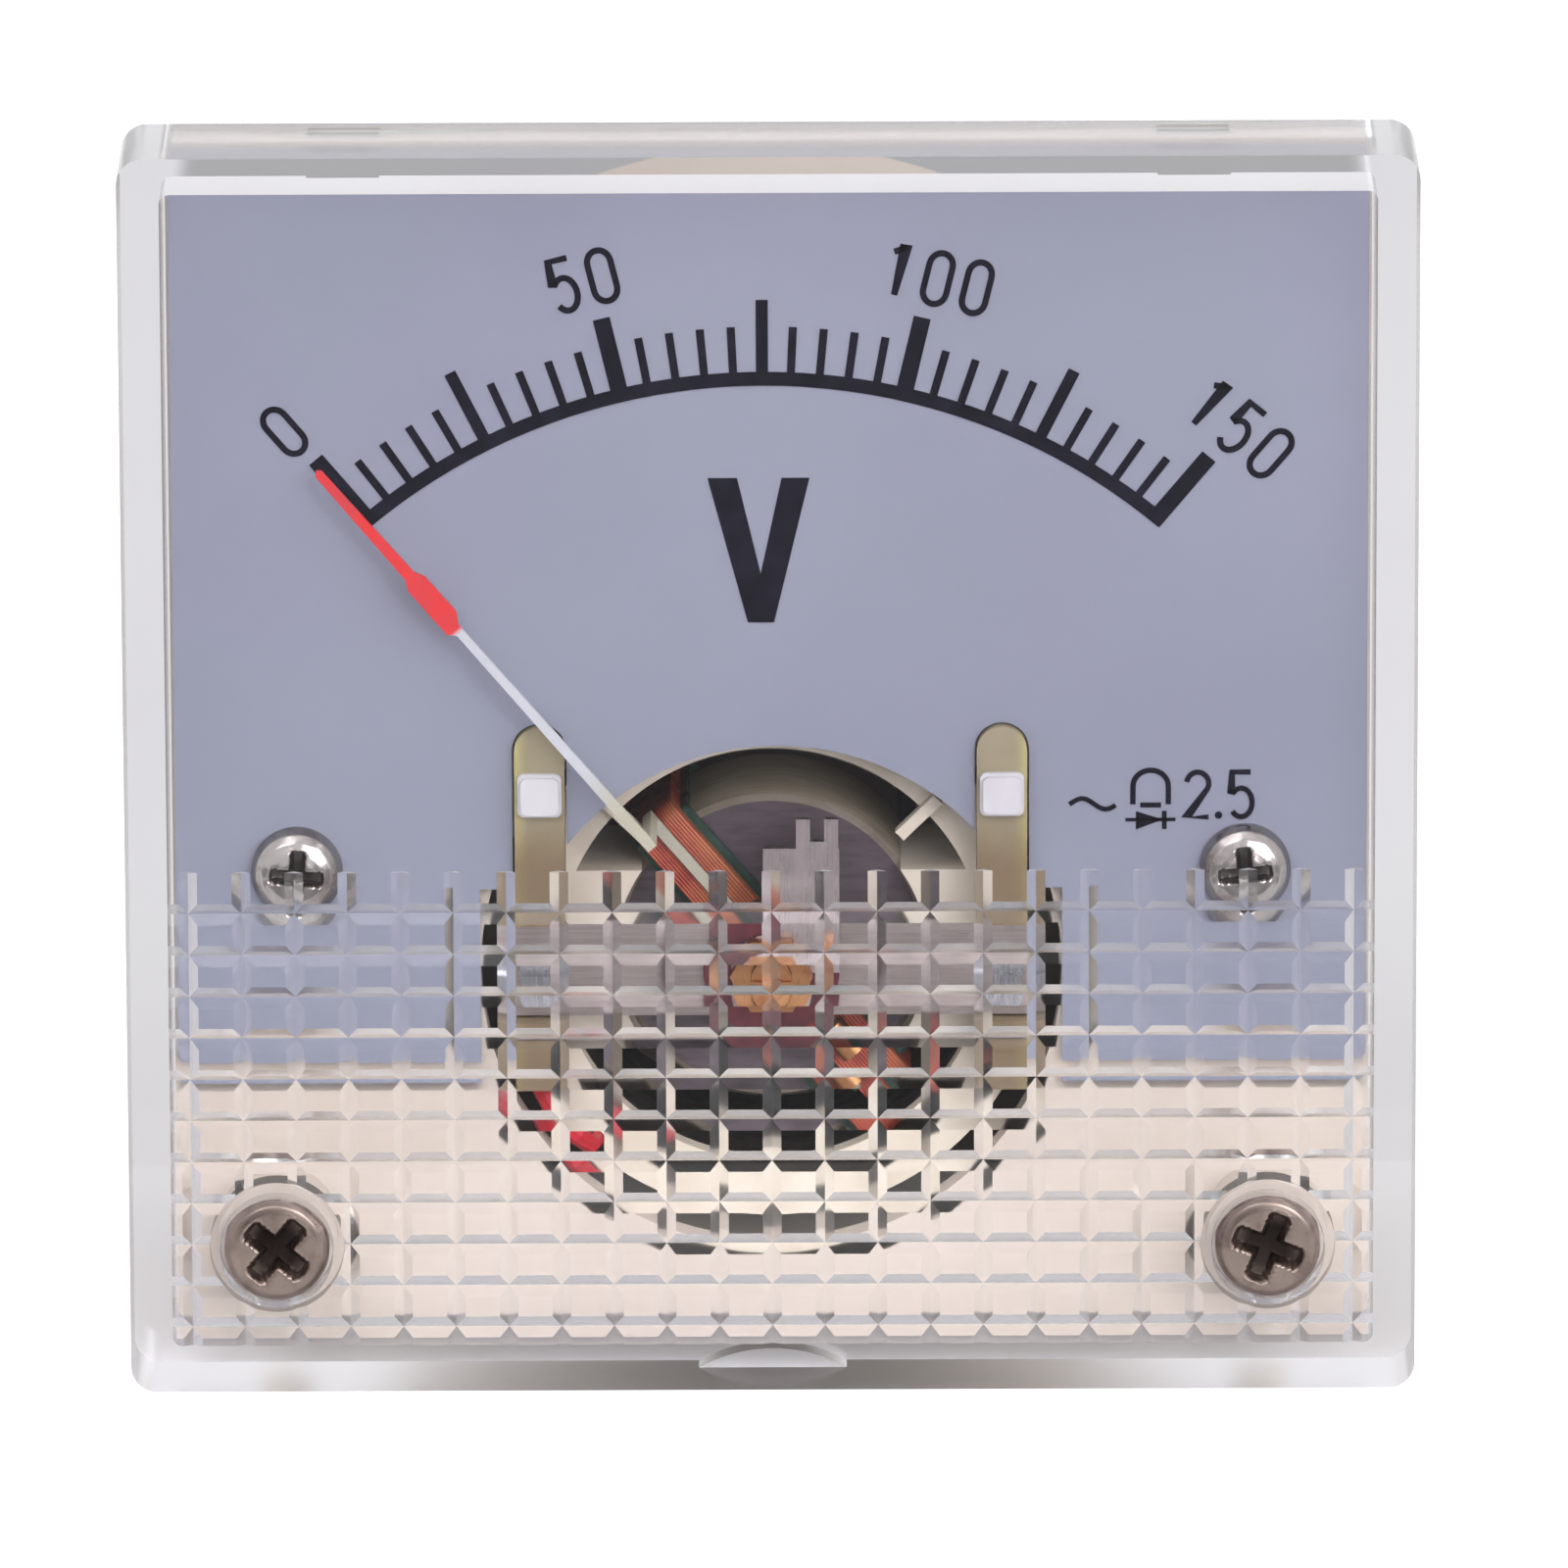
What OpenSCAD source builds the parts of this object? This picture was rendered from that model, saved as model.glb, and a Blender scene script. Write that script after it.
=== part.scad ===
// Square-faced moving-coil panel meter with a clear cover, a hooked and screwed
// front, and a round case that passes through a panel hole.
// X runs to the right of the face, Z up, and the face looks towards -Y.
// The origin is on the case's axis in the plane of the panel.

/* [Cover] */
// Width of the clear cover
face_w = 64; // [62:0.5:72]
// Height of the clear cover
face_h = 63; // [61:0.5:72]
// Height of the face's centre above the case's axis
face_lift = 2.5; // [2.2:0.1:3.2]
// Depth of the cover from the panel to its front
cover_depth = 8; // [7.8:0.1:10]
// Thickness of the cover's side walls
cover_wall = 2.05; // [1.4:0.05:2.4]
// Thickness of the cover's front
cover_front = 1.7; // [1.4:0.05:1.8]
// Radius of the cover's outer corners
cover_corner_r = 1.3; // [0.8:0.1:2]
// Radius of the cover's inner corners
cover_inner_r = 0.5; // [0.2:0.1:1]

/* [Lens ribs] */
// Distance from the face's centre down to the top of the ribbed zone
rib_zone_drop = 5.03; // [3:0.1:8]
// Spacing of the upright ribs
rib_pitch_x = 2.63; // [2.2:0.05:3.4]
// Spacing of the level ribs
rib_pitch_z = 2.135; // [1.8:0.05:3]
// Half width of an upright rib at its root
rib_half_x = 0.46; // [0.25:0.01:0.6]
// Half width of a level rib at its root
rib_half_z = 0.54; // [0.3:0.01:0.8]
// Height of the ribs
rib_h = 0.33; // [0.2:0.01:0.6]

/* [Cover fixings] */
// Sideways distance of the corner fixings from the centre line
fixing_x = 24.7; // [24:0.1:25.2]
// Distance of the corner fixings above and below the face's centre
fixing_z = 24.35; // [24:0.05:24.8]
// Radius of the clear ring round a cover screw
cover_boss_r = 3.35; // [3.2:0.05:3.8]
// Depth of the counterbore for a cover screw's head
counterbore_depth = 1.9; // [1.6:0.1:2]
// Thickness of the clear seat under a cover screw's head
screw_seat_t = 1.2; // [0.9:0.1:1.4]
// Radius of a cover screw's head
cover_head_r = 2.62; // [2.4:0.02:2.8]
// Height of a cover screw's head
cover_head_h = 1.55; // [1.2:0.05:1.8]
// Radius of the M3 threads
m3_r = 1.5; // [1.5:0.1:1.5]
// Depth of the cross recess in the cover screws
cover_cross_depth = 0.95; // [0.5:0.05:1.1]
// Turn of the left cover screw's cross
left_cross_turn = 40; // [0:5:90]
// Turn of the right cover screw's cross
right_cross_turn = 22; // [0:1:90]
// Distance of the top hooks from the centre line
hook_x = 21; // [15:0.5:22]
// Width of a top hook
hook_w = 3.6; // [2:0.1:6]
// How far a top hook reaches in from the wall
hook_reach = 1.3; // [0.8:0.1:2]
// Thickness of a top hook
hook_t = 0.7; // [0.5:0.05:0.8]
// Width of the lifting notch in the bottom wall
notch_w = 7.4; // [4:0.1:12]
// Height of the lifting notch
notch_h = 1; // [0.6:0.05:1.3]
// How far the lifting notch runs forward from the panel
notch_run = 2; // [1:0.1:6]

/* [Case] */
// Thickness of the case's square flange
flange_t = 1.8; // [1.6:0.1:2]
// Radius of the round case
case_r = 26; // [25.5:0.1:27]
// Wall of the round case
case_wall = 1.6; // [1.2:0.1:1.7]
// Length of the round case behind the panel
case_len = 34; // [30:0.5:45]
// Thickness of the case's rear wall
rear_wall = 2.2; // [1.6:0.1:3]
// Radius of the well round the movement
well_r = 14.5; // [14.3:0.1:14.8]
// Depth of the shallow step round the outside of the rear wall
rear_step = 0.8; // [0.4:0.1:1.5]
// Radius of a base pillar under a cover screw
pillar_r = 3; // [2.7:0.1:3.4]
// Length of the mounting studs behind the panel
stud_len = 14; // [8:0.5:20]
// Radius of the brass body that anchors each mounting stud
insert_r = 2.15; // [2:0.05:2.3]
// Radius of the anchor's neck where it comes out at the panel
insert_neck_r = 1.8; // [1.7:0.05:1.85]
// Thickness of plastic that the anchor's shoulder pulls against
insert_lip = 0.4; // [0.3:0.05:0.6]

/* [Dial] */
// Thickness of the dial plate
dial_t = 0.6; // [0.4:0.05:0.8]
// Height of the pads that carry the dial plate
dial_pad = 0.2; // [0.1:0.05:0.3]
// Gap between the dial plate and the cover's walls
dial_edge_gap = 0.3; // [0.15:0.05:0.6]
// Distance of the dial plate's lower edge below the face's centre
dial_drop = 15.85; // [14:0.05:17]
// Radius of the arch cut in the dial plate
arch_r = 13.3; // [13:0.1:13.5]
// Distance of the arch's centre below the pivot
arch_drop = 1.65; // [1.5:0.05:1.8]
// Half width of the arch
arch_half_w = 10.6; // [10.4:0.1:10.8]
// How far the dial's opening sits to the right of the centre
opening_shift = 0.3; // [0:0.05:0.4]
// Half width of the opening below the arch
cutout_half_w = 14.5; // [14:0.1:15]
// Height above the pivot at which the opening widens
cutout_shoulder = 4.3; // [3:0.1:5]
// Sideways distance of the dial screws from the centre line
dial_screw_x = 23.6; // [22.8:0.1:23.7]
// Distance of the dial screws below the face's centre
dial_screw_drop = 5.9; // [4:0.1:8]
// Radius of a dial screw's head
dial_head_r = 2.28; // [1.8:0.02:2.4]
// Height of a dial screw's head
dial_head_h = 1.6; // [1.1:0.1:1.7]
// Radius of a dial screw's shank
dial_shank_r = 1.1; // [0.9:0.05:1.2]
// Length of a dial screw's shank
dial_shank_len = 6; // [4:0.5:6.5]
// Wall of the case's boss round a dial screw
dial_boss_wall = 1.5; // [1.2:0.1:1.8]
// Plastic of the boss beyond the screw's tip
dial_boss_end = 1; // [0.6:0.1:1.5]

/* [Scale] */
// Radius of the lower edge of the scale arc
arc_r = 30.05; // [28:0.05:31]
// Thickness of the scale arc
arc_w = 0.7; // [0.3:0.05:1]
// Angle of the whole scale
scale_sweep = 80; // [70:1:80]
// Number of divisions of the scale
divisions = 30; // [30:30:30]
// Outer radius of the long marks
long_mark_r = 34.4; // [32:0.1:35]
// Outer radius of the short marks
short_mark_r = 33.05; // [31.5:0.05:34]
// Width of the marks with a number
major_mark_w = 0.85; // [0.5:0.05:1]
// Width of the half-way marks
middle_mark_w = 0.6; // [0.4:0.05:0.8]
// Width of the short marks
minor_mark_w = 0.4; // [0.2:0.02:0.5]
// Thickness of the printed ink
ink_t = 0.04; // [0.02:0.01:0.08]
// How far the print sits to the left of the plate's centre
print_shift = 0.35; // [0:0.05:0.6]

/* [Movement] */
// Distance of the pivot below the face's centre
pivot_drop = 11.2; // [11:0.1:11.4]
// Angle of the pointer from upright at zero
rest_angle = 40.5; // [40:0.1:41]
// Radius of the core magnet
core_r = 7.8; // [7.4:0.05:7.9]
// Length of the core magnet
core_len = 8.6; // [6:0.1:10]
// Depth of the core magnet's front behind the panel
core_front = 2.4; // [2:0.05:2.8]
// Running gap between the core magnet and the coil's former
coil_gap = 0.45; // [0.3:0.05:0.5]
// Thickness of the coil's former
former_t = 0.25; // [0.15:0.01:0.3]
// Width of the coil's former
former_w = 3.4; // [2.8:0.1:3.6]
// Thickness of the copper winding
winding_t = 0.75; // [0.5:0.05:0.8]
// How far the former's edges stand out beside the winding
former_lip = 0.4; // [0.1:0.05:0.5]
// Radius of the corners of the winding
winding_corner_r = 0.9; // [0.5:0.05:1]
// Inner radius of the iron yoke ring
yoke_in_r = 10.7; // [10.5:0.05:10.9]
// Outer radius of the iron yoke ring
yoke_out_r = 12.45; // [12:0.05:12.6]
// Outer radius of the frame that holds the yoke
frame_r = 13.5; // [13.2:0.05:13.7]
// Thickness of the frame's front ring
frame_ring_t = 1.2; // [0.9:0.05:1.3]
// Length of the frame behind its front ring
frame_len = 12.2; // [11.8:0.1:13]
// Half height of the webs that hold the core magnet
web_half = 4.4; // [1.5:0.1:4.5]
// Width of the notch that lets the red wire past the frame
wire_notch_w = 2.2; // [1.4:0.1:3]

/* [Frame posts] */
// Distance of a frame post from the pivot's centre line
post_x = 11.5; // [11.4:0.05:11.6]
// Width of a frame post
post_w = 2.5; // [2.2:0.05:2.6]
// Height of a frame post above the pivot
post_top = 12.7; // [12:0.1:13.5]
// Length of a frame post below the pivot
post_bottom = 6; // [5:0.1:6.2]
// How far a frame post stands out of the dial plate
post_proud = 0.5; // [0.3:0.05:0.8]
// Height of the frame rivets above the pivot
rivet_up = 9.3; // [8.6:0.1:10]
// Half width of a frame rivet's square head
rivet_head_half = 1.1; // [1:0.05:1.2]
// Radius of the corners of a frame rivet's head
rivet_corner_r = 0.35; // [0.2:0.05:0.6]
// Width of the step round the crown of a frame rivet's head
rivet_edge = 0.15; // [0.05:0.05:0.3]
// Radius of a frame rivet's shank
rivet_r = 0.75; // [0.6:0.05:0.8]
// Height of a frame rivet's head
rivet_head_h = 0.6; // [0.4:0.05:0.7]

/* [Bridges] */
// Gap between the coil and each bridge
bridge_gap = 2.1; // [1.9:0.05:2.3]
// Thickness of a bridge
bridge_t = 0.8; // [0.6:0.05:0.9]
// Half height of a bridge
bridge_half = 2.4; // [1.8:0.1:2.5]
// Radius of a bridge's hub
bridge_hub_r = 3.1; // [2.6:0.05:3.2]
// Radius of a jewel screw
jewel_r = 1; // [0.8:0.05:1.1]
// Radius of the staffs that carry the coil
staff_r = 0.5; // [0.4:0.02:0.6]
// Radius of the collets on the staffs
collet_r = 0.9; // [0.8:0.05:1]
// Radius of a bridge screw's head
bridge_head_r = 1.1; // [0.9:0.05:1.2]
// Radius of a bridge screw's shank
bridge_shank_r = 0.6; // [0.5:0.05:0.7]
// Thickness of the zero lever
lever_t = 0.4; // [0.3:0.05:0.5]
// Width of the zero lever
lever_w = 3.8; // [3:0.1:4.2]
// How far the zero lever sits to the right of the pivot
lever_shift = 1.5; // [1.3:0.1:1.7]
// Height of the zero lever above the pivot
lever_top = 6.4; // [5.5:0.1:6.6]
// Width of the leg that holds the front hairspring
leg_w = 0.6; // [0.4:0.05:0.8]
// Distance of the zero lever's fork to the right of the pivot
fork_x = 2.3; // [2:0.1:2.4]
// Width of the zero lever's fork
fork_w = 2.1; // [1.8:0.1:2.2]
// Width of the slot in the zero lever's fork
fork_slot = 0.7; // [0.5:0.05:0.9]
// Height of the zero lever's fork above the pivot
fork_top = 7.9; // [7.4:0.1:8]
// Radius of the red fibre washer
washer_r = 3.4; // [2.8:0.05:3.6]
// Thickness of the red fibre washer
washer_t = 0.4; // [0.3:0.05:0.5]
// Width of the lock nuts across their flats
nut_flats = 3.6; // [3.2:0.1:4]
// Thickness of the lock nuts
nut_t = 0.8; // [0.6:0.05:0.9]

/* [Pointer] */
// Length of the pointer from the pivot to its tip
pointer_len = 34.5; // [32:0.1:34.8]
// Gap between the dial plate and the pointer
pointer_gap = 1.65; // [1.5:0.05:1.7]
// Thickness of the pointer
pointer_t = 0.35; // [0.25:0.01:0.4]
// Width of the pointer's arm at its root
arm_w = 0.55; // [0.4:0.05:0.7]
// Width of the pointer's arm at the blade
arm_end_w = 0.4; // [0.3:0.05:0.5]
// Half width of each stop that ends the pointer's swing
stop_half = 0.3; // [0.25:0.05:0.5]
// How far each stop stands forward of the frame
stop_proud = 0.7; // [0.5:0.05:0.9]
// How far each stop reaches inward of the pointer's step
stop_reach = 0.3; // [0.2:0.05:0.5]
// Radius at which the pointer steps forward
step_r = 9.3; // [9.1:0.05:9.35]
// Radius at which the pointer's blade starts
blade_start = 24; // [20:0.1:26]
// Length of the broad part of the pointer's blade
blade_broad_len = 2.9; // [2:0.1:4]
// Width of the broad part of the pointer's blade
blade_w = 1.1; // [0.8:0.05:1.4]
// Width of the pointer's tip
tip_w = 0.4; // [0.3:0.05:0.6]
// Length of the pointer's balance tail
tail_len = 6.6; // [5:0.1:7]
// Radius of a balance weight
weight_r = 0.7; // [0.5:0.05:0.8]
// Length of a balance weight
weight_len = 1.8; // [1:0.1:2]

/* [Hairsprings] */
// Radius of a hairspring's outer turn
spring_out_r = 3.2; // [2.8:0.05:3.3]
// Number of turns of a hairspring
spring_turns = 4; // [2:1:5]
// Distance of the front hairspring ahead of the coil
spring_lead = 1.5; // [1.3:0.1:1.7]
// Thickness of the hairspring ribbon
ribbon_t = 0.12; // [0.08:0.01:0.16]
// Width of the hairspring ribbon
ribbon_w = 0.4; // [0.3:0.05:0.5]

/* [Terminals and circuit] */
// Sideways distance of a terminal from the case's axis
terminal_x = 12; // [10:0.5:14]
// Height of the terminals above the case's axis
terminal_z = 3; // [0:0.5:5]
// Radius of a terminal stud's free end
terminal_r = 2; // [1.5:0.5:2.5]
// How much slimmer a terminal stud is inside its nuts, at the root of its thread
thread_depth = 0.4; // [0.3:0.05:0.5]
// Length of a terminal stud behind the case
terminal_len = 12; // [11:0.5:16]
// Radius of a terminal stud's head
terminal_head_r = 3.6; // [3.2:0.1:4]
// Thickness of a terminal stud's head
terminal_head_t = 1.6; // [1.2:0.1:2]
// Width of the terminal nuts across their flats
terminal_flats = 7; // [6:0.5:8]
// Thickness of a terminal nut
terminal_nut_t = 3.2; // [2.4:0.1:3.4]
// Radius of a terminal washer
terminal_washer_r = 4.3; // [3.8:0.1:4.6]
// Thickness of a terminal washer
terminal_washer_t = 0.8; // [0.5:0.1:1]
// Width of the circuit board
board_w = 34; // [33:0.5:36]
// Height of the circuit board
board_h = 16; // [15:0.5:20]
// How far the circuit board reaches below the terminals
board_below = 4.5; // [4.3:0.1:5.5]
// Thickness of the circuit board
board_t = 1.6; // [1:0.1:1.6]
// Height of the bosses between the circuit board and the rear wall
board_lift = 1.4; // [1:0.1:2]
// Radius of a diode
diode_r = 1.3; // [1:0.05:1.4]
// Length of a diode
diode_len = 4.4; // [3.6:0.1:5]
// Spacing of the diodes
diode_pitch = 3.2; // [3:0.1:3.4]
// Radius of the series resistor
resistor_r = 1.7; // [1.2:0.05:1.9]
// Length of the series resistor
resistor_len = 7; // [5:0.1:8]
// Distance of the series resistor to the left of the centre
resistor_x = 11; // [9:0.5:11.5]
// Distance of the series resistor from the board's upper edge
resistor_edge = 1.2; // [0.8:0.1:2]
// Radius of the component leads
lead_r = 0.3; // [0.25:0.05:0.35]
// Radius of the insulated wires
wire_r = 0.5; // [0.4:0.05:0.5]

/* [Hidden] */
$fn = 64;

// Clearances: between pieces that slide together, that turn in each other, and
// between faces that pass without touching.
fit = 0.02;
running = 0.03;
free_gap = 0.1;
// Overlap that carries a cut right through a face
cut = 0.1;

// Depths, counted from the panel: the front is negative, the rear positive.
face_y = -cover_depth;
lens_y = face_y + cover_front;
rib_tip_y = lens_y + rib_h;
flange_front = -flange_t;
dial_back = flange_front - dial_pad;
dial_front = dial_back - dial_t;
pointer_back = dial_front - pointer_gap;
pointer_front = pointer_back - pointer_t;
screw_seat_y = face_y + counterbore_depth;
boss_back = screw_seat_y + screw_seat_t;
pillar_front = boss_back + free_gap;
case_back = case_len;
rear_inside = case_len - rear_wall;

// Heights
pivot_z = face_lift - pivot_drop;
dial_top_z = face_lift + face_h / 2 - cover_wall - dial_edge_gap;
dial_low_z = face_lift - dial_drop;
dial_screw_z = face_lift - dial_screw_drop;
rib_top_z = face_lift - rib_zone_drop;

// Inside of the cover and the pieces that lie in it
cover_in_w = face_w - 2 * cover_wall;
cover_in_h = face_h - 2 * cover_wall;
flange_gap = 0.15;
flange_w = cover_in_w - 2 * flange_gap;
flange_h = cover_in_h - 2 * flange_gap;
dial_w = cover_in_w - 2 * dial_edge_gap;
m3_clear_r = m3_r + 0.15;
m3_core_r = m3_r - 0.25;

// Movement, from the core magnet outwards
core_back = core_front + core_len;
former_in_r = core_r + coil_gap;
former_out_r = former_in_r + former_t;
coil_out_r = former_out_r + winding_t;
former_front = core_front - coil_gap - former_t;
coil_front = former_front - winding_t;
former_back = core_back + coil_gap + former_t;
coil_back = former_back + winding_t;
winding_w = former_w - 2 * former_lip;
frame_front = coil_front - 0.4;
ring_back = frame_front + frame_ring_t;
frame_back = ring_back + frame_len;
yoke_front = ring_back + fit;
yoke_back = frame_back - frame_ring_t - fit;
bridge_back = coil_front - bridge_gap;
bridge_front = bridge_back - bridge_t;
rear_bridge_y = frame_back;
rear_bridge_back = rear_bridge_y + bridge_t;
screw_tip_front = frame_front + 0.9;
screw_tip_rear = frame_back - 0.9;
wire_notch_angle = 223;
post_front = dial_front - post_proud;
post_in_x = post_x - post_w / 2;
post_out_x = post_x + post_w / 2;
post_foot_up = sqrt(pow(well_r - free_gap, 2) - pow(post_out_x, 2)) - free_gap;

// Anchors of the mounting studs and what is screwed or riveted into the flange
low_insert_y = pillar_front + 0.4;
high_insert_y = flange_front + 0.2;
cover_screw_tip = -0.8;
rivet_end = -0.4;
tip_chamfer = 0.4;

// Stack of pieces on the front bridge's collar
collar_r = jewel_r + 0.3;
lever_gap = 0.05;
washer_back = bridge_front - fit;
washer_front = washer_back - washer_t;
lever_back = washer_front - lever_gap;
lever_front = lever_back - lever_t;
nut_back = lever_front - lever_gap;
nut_front = nut_back - nut_t;
lever_hub_r = collar_r + 0.7;
jewel_front = nut_front - 0.4;
jewel_gap = 0.25;
front_cup_y = bridge_back - jewel_gap;
rear_cup_y = rear_bridge_y + jewel_gap;
cup_depth = 0.45;
cup_r = 0.42;
tip_gap = 0.06;

// Hairsprings and the collets they sit on
spring_in_r = collet_r + 0.05;
front_spring_y = coil_front - spring_lead;
rear_spring_y = (coil_back + rear_bridge_y) / 2 - ribbon_w / 2;

// Terminals and the board they clamp
board_back = rear_inside - board_lift;
board_front = board_back - board_t;
terminal_head_y = board_front - terminal_head_t;
terminal_shank_r = terminal_r - thread_depth;
terminal_tip = case_back + terminal_len;
lock_nut_back = case_back + terminal_nut_t;
terminal_washer_back = lock_nut_back + terminal_washer_t;
terminal_nut_back = terminal_washer_back + terminal_nut_t;
board_z = terminal_z + board_h / 2 - board_below;

// Routes of the two insulated wires
wire_board_z = 0.6;
RED_ROUTE = [
    [-post_x, -1.0, pivot_z - post_bottom - fit], [-post_x, -1.0, -15.2], [-10.9, -1.4, -16.2],
    [-9.8, -1.2, -17.5], [-9.1, -0.4, -18.2], [-8.9, 0.6, -18.25], [-8.9, 4, -18.25],
    [-8.9, 14.9, -18.25], [-8.8, 17, -16.8], [-8.4, 20, -13.0], [-7.8, 22.5, -8.4],
    [-7.0, 24.5, -3.8], [-6.6, 26.0, -0.6], [-6.5, 27.0, wire_board_z],
    [-6.5, board_front - fit, wire_board_z]
];
BLUE_ROUTE = [
    [7, rear_bridge_back + fit, pivot_z], [7, 16.5, pivot_z], [7, 18.6, -8.0], [6.8, 21, -5.0],
    [6.6, 23.4, -1.9], [6.5, 25.6, 0.1], [6.5, 27.0, wire_board_z],
    [6.5, board_front - fit, wire_board_z]
];

// ---- shared shapes -------------------------------------------------------

// A cylinder along Y from depth y0 to y1.
module rod(r, y0, y1, x = 0, z = 0, sides = $fn) {
    translate([x, y0, z]) rotate([-90, 0, 0]) cylinder(h = y1 - y0, r = r, $fn = sides);
}

// A cone along Y from radius r0 at y0 to r1 at y1.
module taper(r0, r1, y0, y1, x = 0, z = 0) {
    translate([x, y0, z]) rotate([-90, 0, 0]) cylinder(h = y1 - y0, r1 = r0, r2 = r1);
}

// A flat outline in X and Z, given its depth from y0 to y1.
module slab(y0, y1) {
    translate([0, y1, 0]) rotate([90, 0, 0]) linear_extrude(y1 - y0) children();
}

// A box from its corners in X, Y and Z.
module block(x0, x1, y0, y1, z0, z1) {
    translate([x0, y0, z0]) cube([x1 - x0, y1 - y0, z1 - z0]);
}

// A rectangle with true round corners, centred on height z.
module round_rect(w, h, r, z) {
    translate([0, z]) {
        square([w - 2 * r, h], center = true);
        square([w, h - 2 * r], center = true);
        for (sx = [-1, 1], sz = [-1, 1])
            translate([sx * (w / 2 - r), sz * (h / 2 - r)]) circle(r);
    }
}

// A flat-sided nut from y0 to y1 with a round hole.
module hex_nut(flats, hole_r, y0, y1, x, z) {
    difference() {
        rod(flats / sqrt(3), y0, y1, x, z, 6);
        rod(hole_r, y0 - cut, y1 + cut, x, z);
    }
}

// A tapered cross recess that opens at depth y and runs back from it.
module cross_recess(r, depth, y, x, z, turn) {
    bar = r * 0.36;
    intersection() {
        taper(r, r * 0.35, y - cut, y + depth, x, z);
        translate([x, y, z]) rotate([0, turn, 0]) {
            translate([-bar / 2, -cut, -r]) cube([bar, depth + cut, 2 * r]);
            translate([-r, -cut, -bar / 2]) cube([2 * r, depth + cut, bar]);
        }
    }
}

// A straight slot across a screw head that opens at depth y0 and ends at y1.
module driver_slot(w, reach, y0, y1, x, z) {
    block(x - reach, x + reach, y0, y1, z - w / 2, z + w / 2);
}

// Places its children on both sides, mirrored in the centre plane.
module both_sides() {
    children();
    mirror([1, 0, 0]) children();
}

// Places its children on the coil's axis, turned as the coil rests at zero.
module at_rest() {
    translate([0, 0, pivot_z]) rotate([0, -rest_angle, 0]) children();
}

// ---- clear cover ----------------------------------------------------------

module level_rib(z) {
    translate([-cover_in_w / 2 - cut, 0, z]) rotate([90, 0, 90])
        linear_extrude(cover_in_w + 2 * cut)
            polygon([[lens_y - cut, -rib_half_z], [lens_y, -rib_half_z],
                     [rib_tip_y, 0], [lens_y, rib_half_z], [lens_y - cut, rib_half_z]]);
}

module upright_rib(x) {
    low = face_lift - cover_in_h / 2 - cut;
    translate([x, 0, low]) linear_extrude(rib_top_z - low)
        polygon([[-rib_half_x, lens_y - cut], [rib_half_x, lens_y - cut],
                 [rib_half_x, lens_y], [0, rib_tip_y], [-rib_half_x, lens_y]]);
}

module lens_ribs() {
    low = face_lift - cover_in_h / 2;
    rows = floor((rib_top_z - low - rib_half_z) / rib_pitch_z);
    columns = floor((cover_in_w / 2 - rib_half_x) / rib_pitch_x);
    for (k = [1:rows]) level_rib(rib_top_z - k * rib_pitch_z);
    for (k = [-columns:columns]) upright_rib(k * rib_pitch_x);
}

module lifting_notch() {
    r = (pow(notch_w / 2, 2) + pow(notch_h, 2)) / (2 * notch_h);
    rod(r, -notch_run, cut, 0, face_lift - face_h / 2 + notch_h - r);
}

module top_hook() {
    wall_z = face_lift + cover_in_h / 2;
    block(hook_x - hook_w / 2, hook_x + hook_w / 2, -hook_t - fit, -fit,
          wall_z - hook_reach, wall_z + cover_wall / 2);
}

module cover() color([0.93, 0.94, 0.96, 0.35]) {
    screw_z = face_lift - fixing_z;
    difference() {
        union() {
            difference() {
                slab(face_y, 0) round_rect(face_w, face_h, cover_corner_r, face_lift);
                slab(lens_y, cut) round_rect(cover_in_w, cover_in_h, cover_inner_r, face_lift);
            }
            lens_ribs();
            both_sides() rod(cover_boss_r, lens_y - cut, boss_back, fixing_x, screw_z);
            both_sides() top_hook();
        }
        both_sides() rod(cover_head_r + 0.2, face_y - cut, screw_seat_y, fixing_x, screw_z);
        both_sides() rod(m3_clear_r, screw_seat_y - cut, boss_back + cut, fixing_x, screw_z);
        lifting_notch();
    }
}

module cover_screw(x, turn) {
    z = face_lift - fixing_z;
    head_y = screw_seat_y - cover_head_h;
    edge = 0.35;
    difference() {
        union() {
            taper(cover_head_r - edge, cover_head_r, head_y, head_y + edge, x, z);
            rod(cover_head_r, head_y + edge, screw_seat_y, x, z);
            rod(m3_core_r, screw_seat_y - cut, cover_screw_tip, x, z);
        }
        cross_recess(cover_head_r * 0.72, cover_cross_depth, head_y, x, z, turn);
    }
}

module cover_screws() color([0.55, 0.5, 0.48]) {
    cover_screw(-fixing_x, left_cross_turn);
    cover_screw(fixing_x, right_cross_turn);
}

// ---- case -----------------------------------------------------------------

module hook_recess() {
    top = face_lift + flange_h / 2;
    block(hook_x - hook_w / 2 - flange_gap, hook_x + hook_w / 2 + flange_gap,
          -hook_t - fit - free_gap, cut, top - hook_reach - free_gap, top + cut);
}

// Stepped hole that holds the anchor of a mounting stud.
module insert_hole(z, front) {
    rod(insert_r + fit, front, -insert_lip, fixing_x, z);
    rod(insert_neck_r + fit, -insert_lip - cut, cut, fixing_x, z);
}

module dial_boss() {
    intersection() {
        rod(dial_shank_r + dial_boss_wall, -cut, dial_back + dial_shank_len + dial_boss_end,
            dial_screw_x, dial_screw_z);
        rod(case_r - case_wall / 2, -2 * cut, case_len);
    }
}

module terminal_boss() {
    rod(terminal_head_r, board_back, rear_inside + cut, terminal_x, terminal_z);
}

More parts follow.
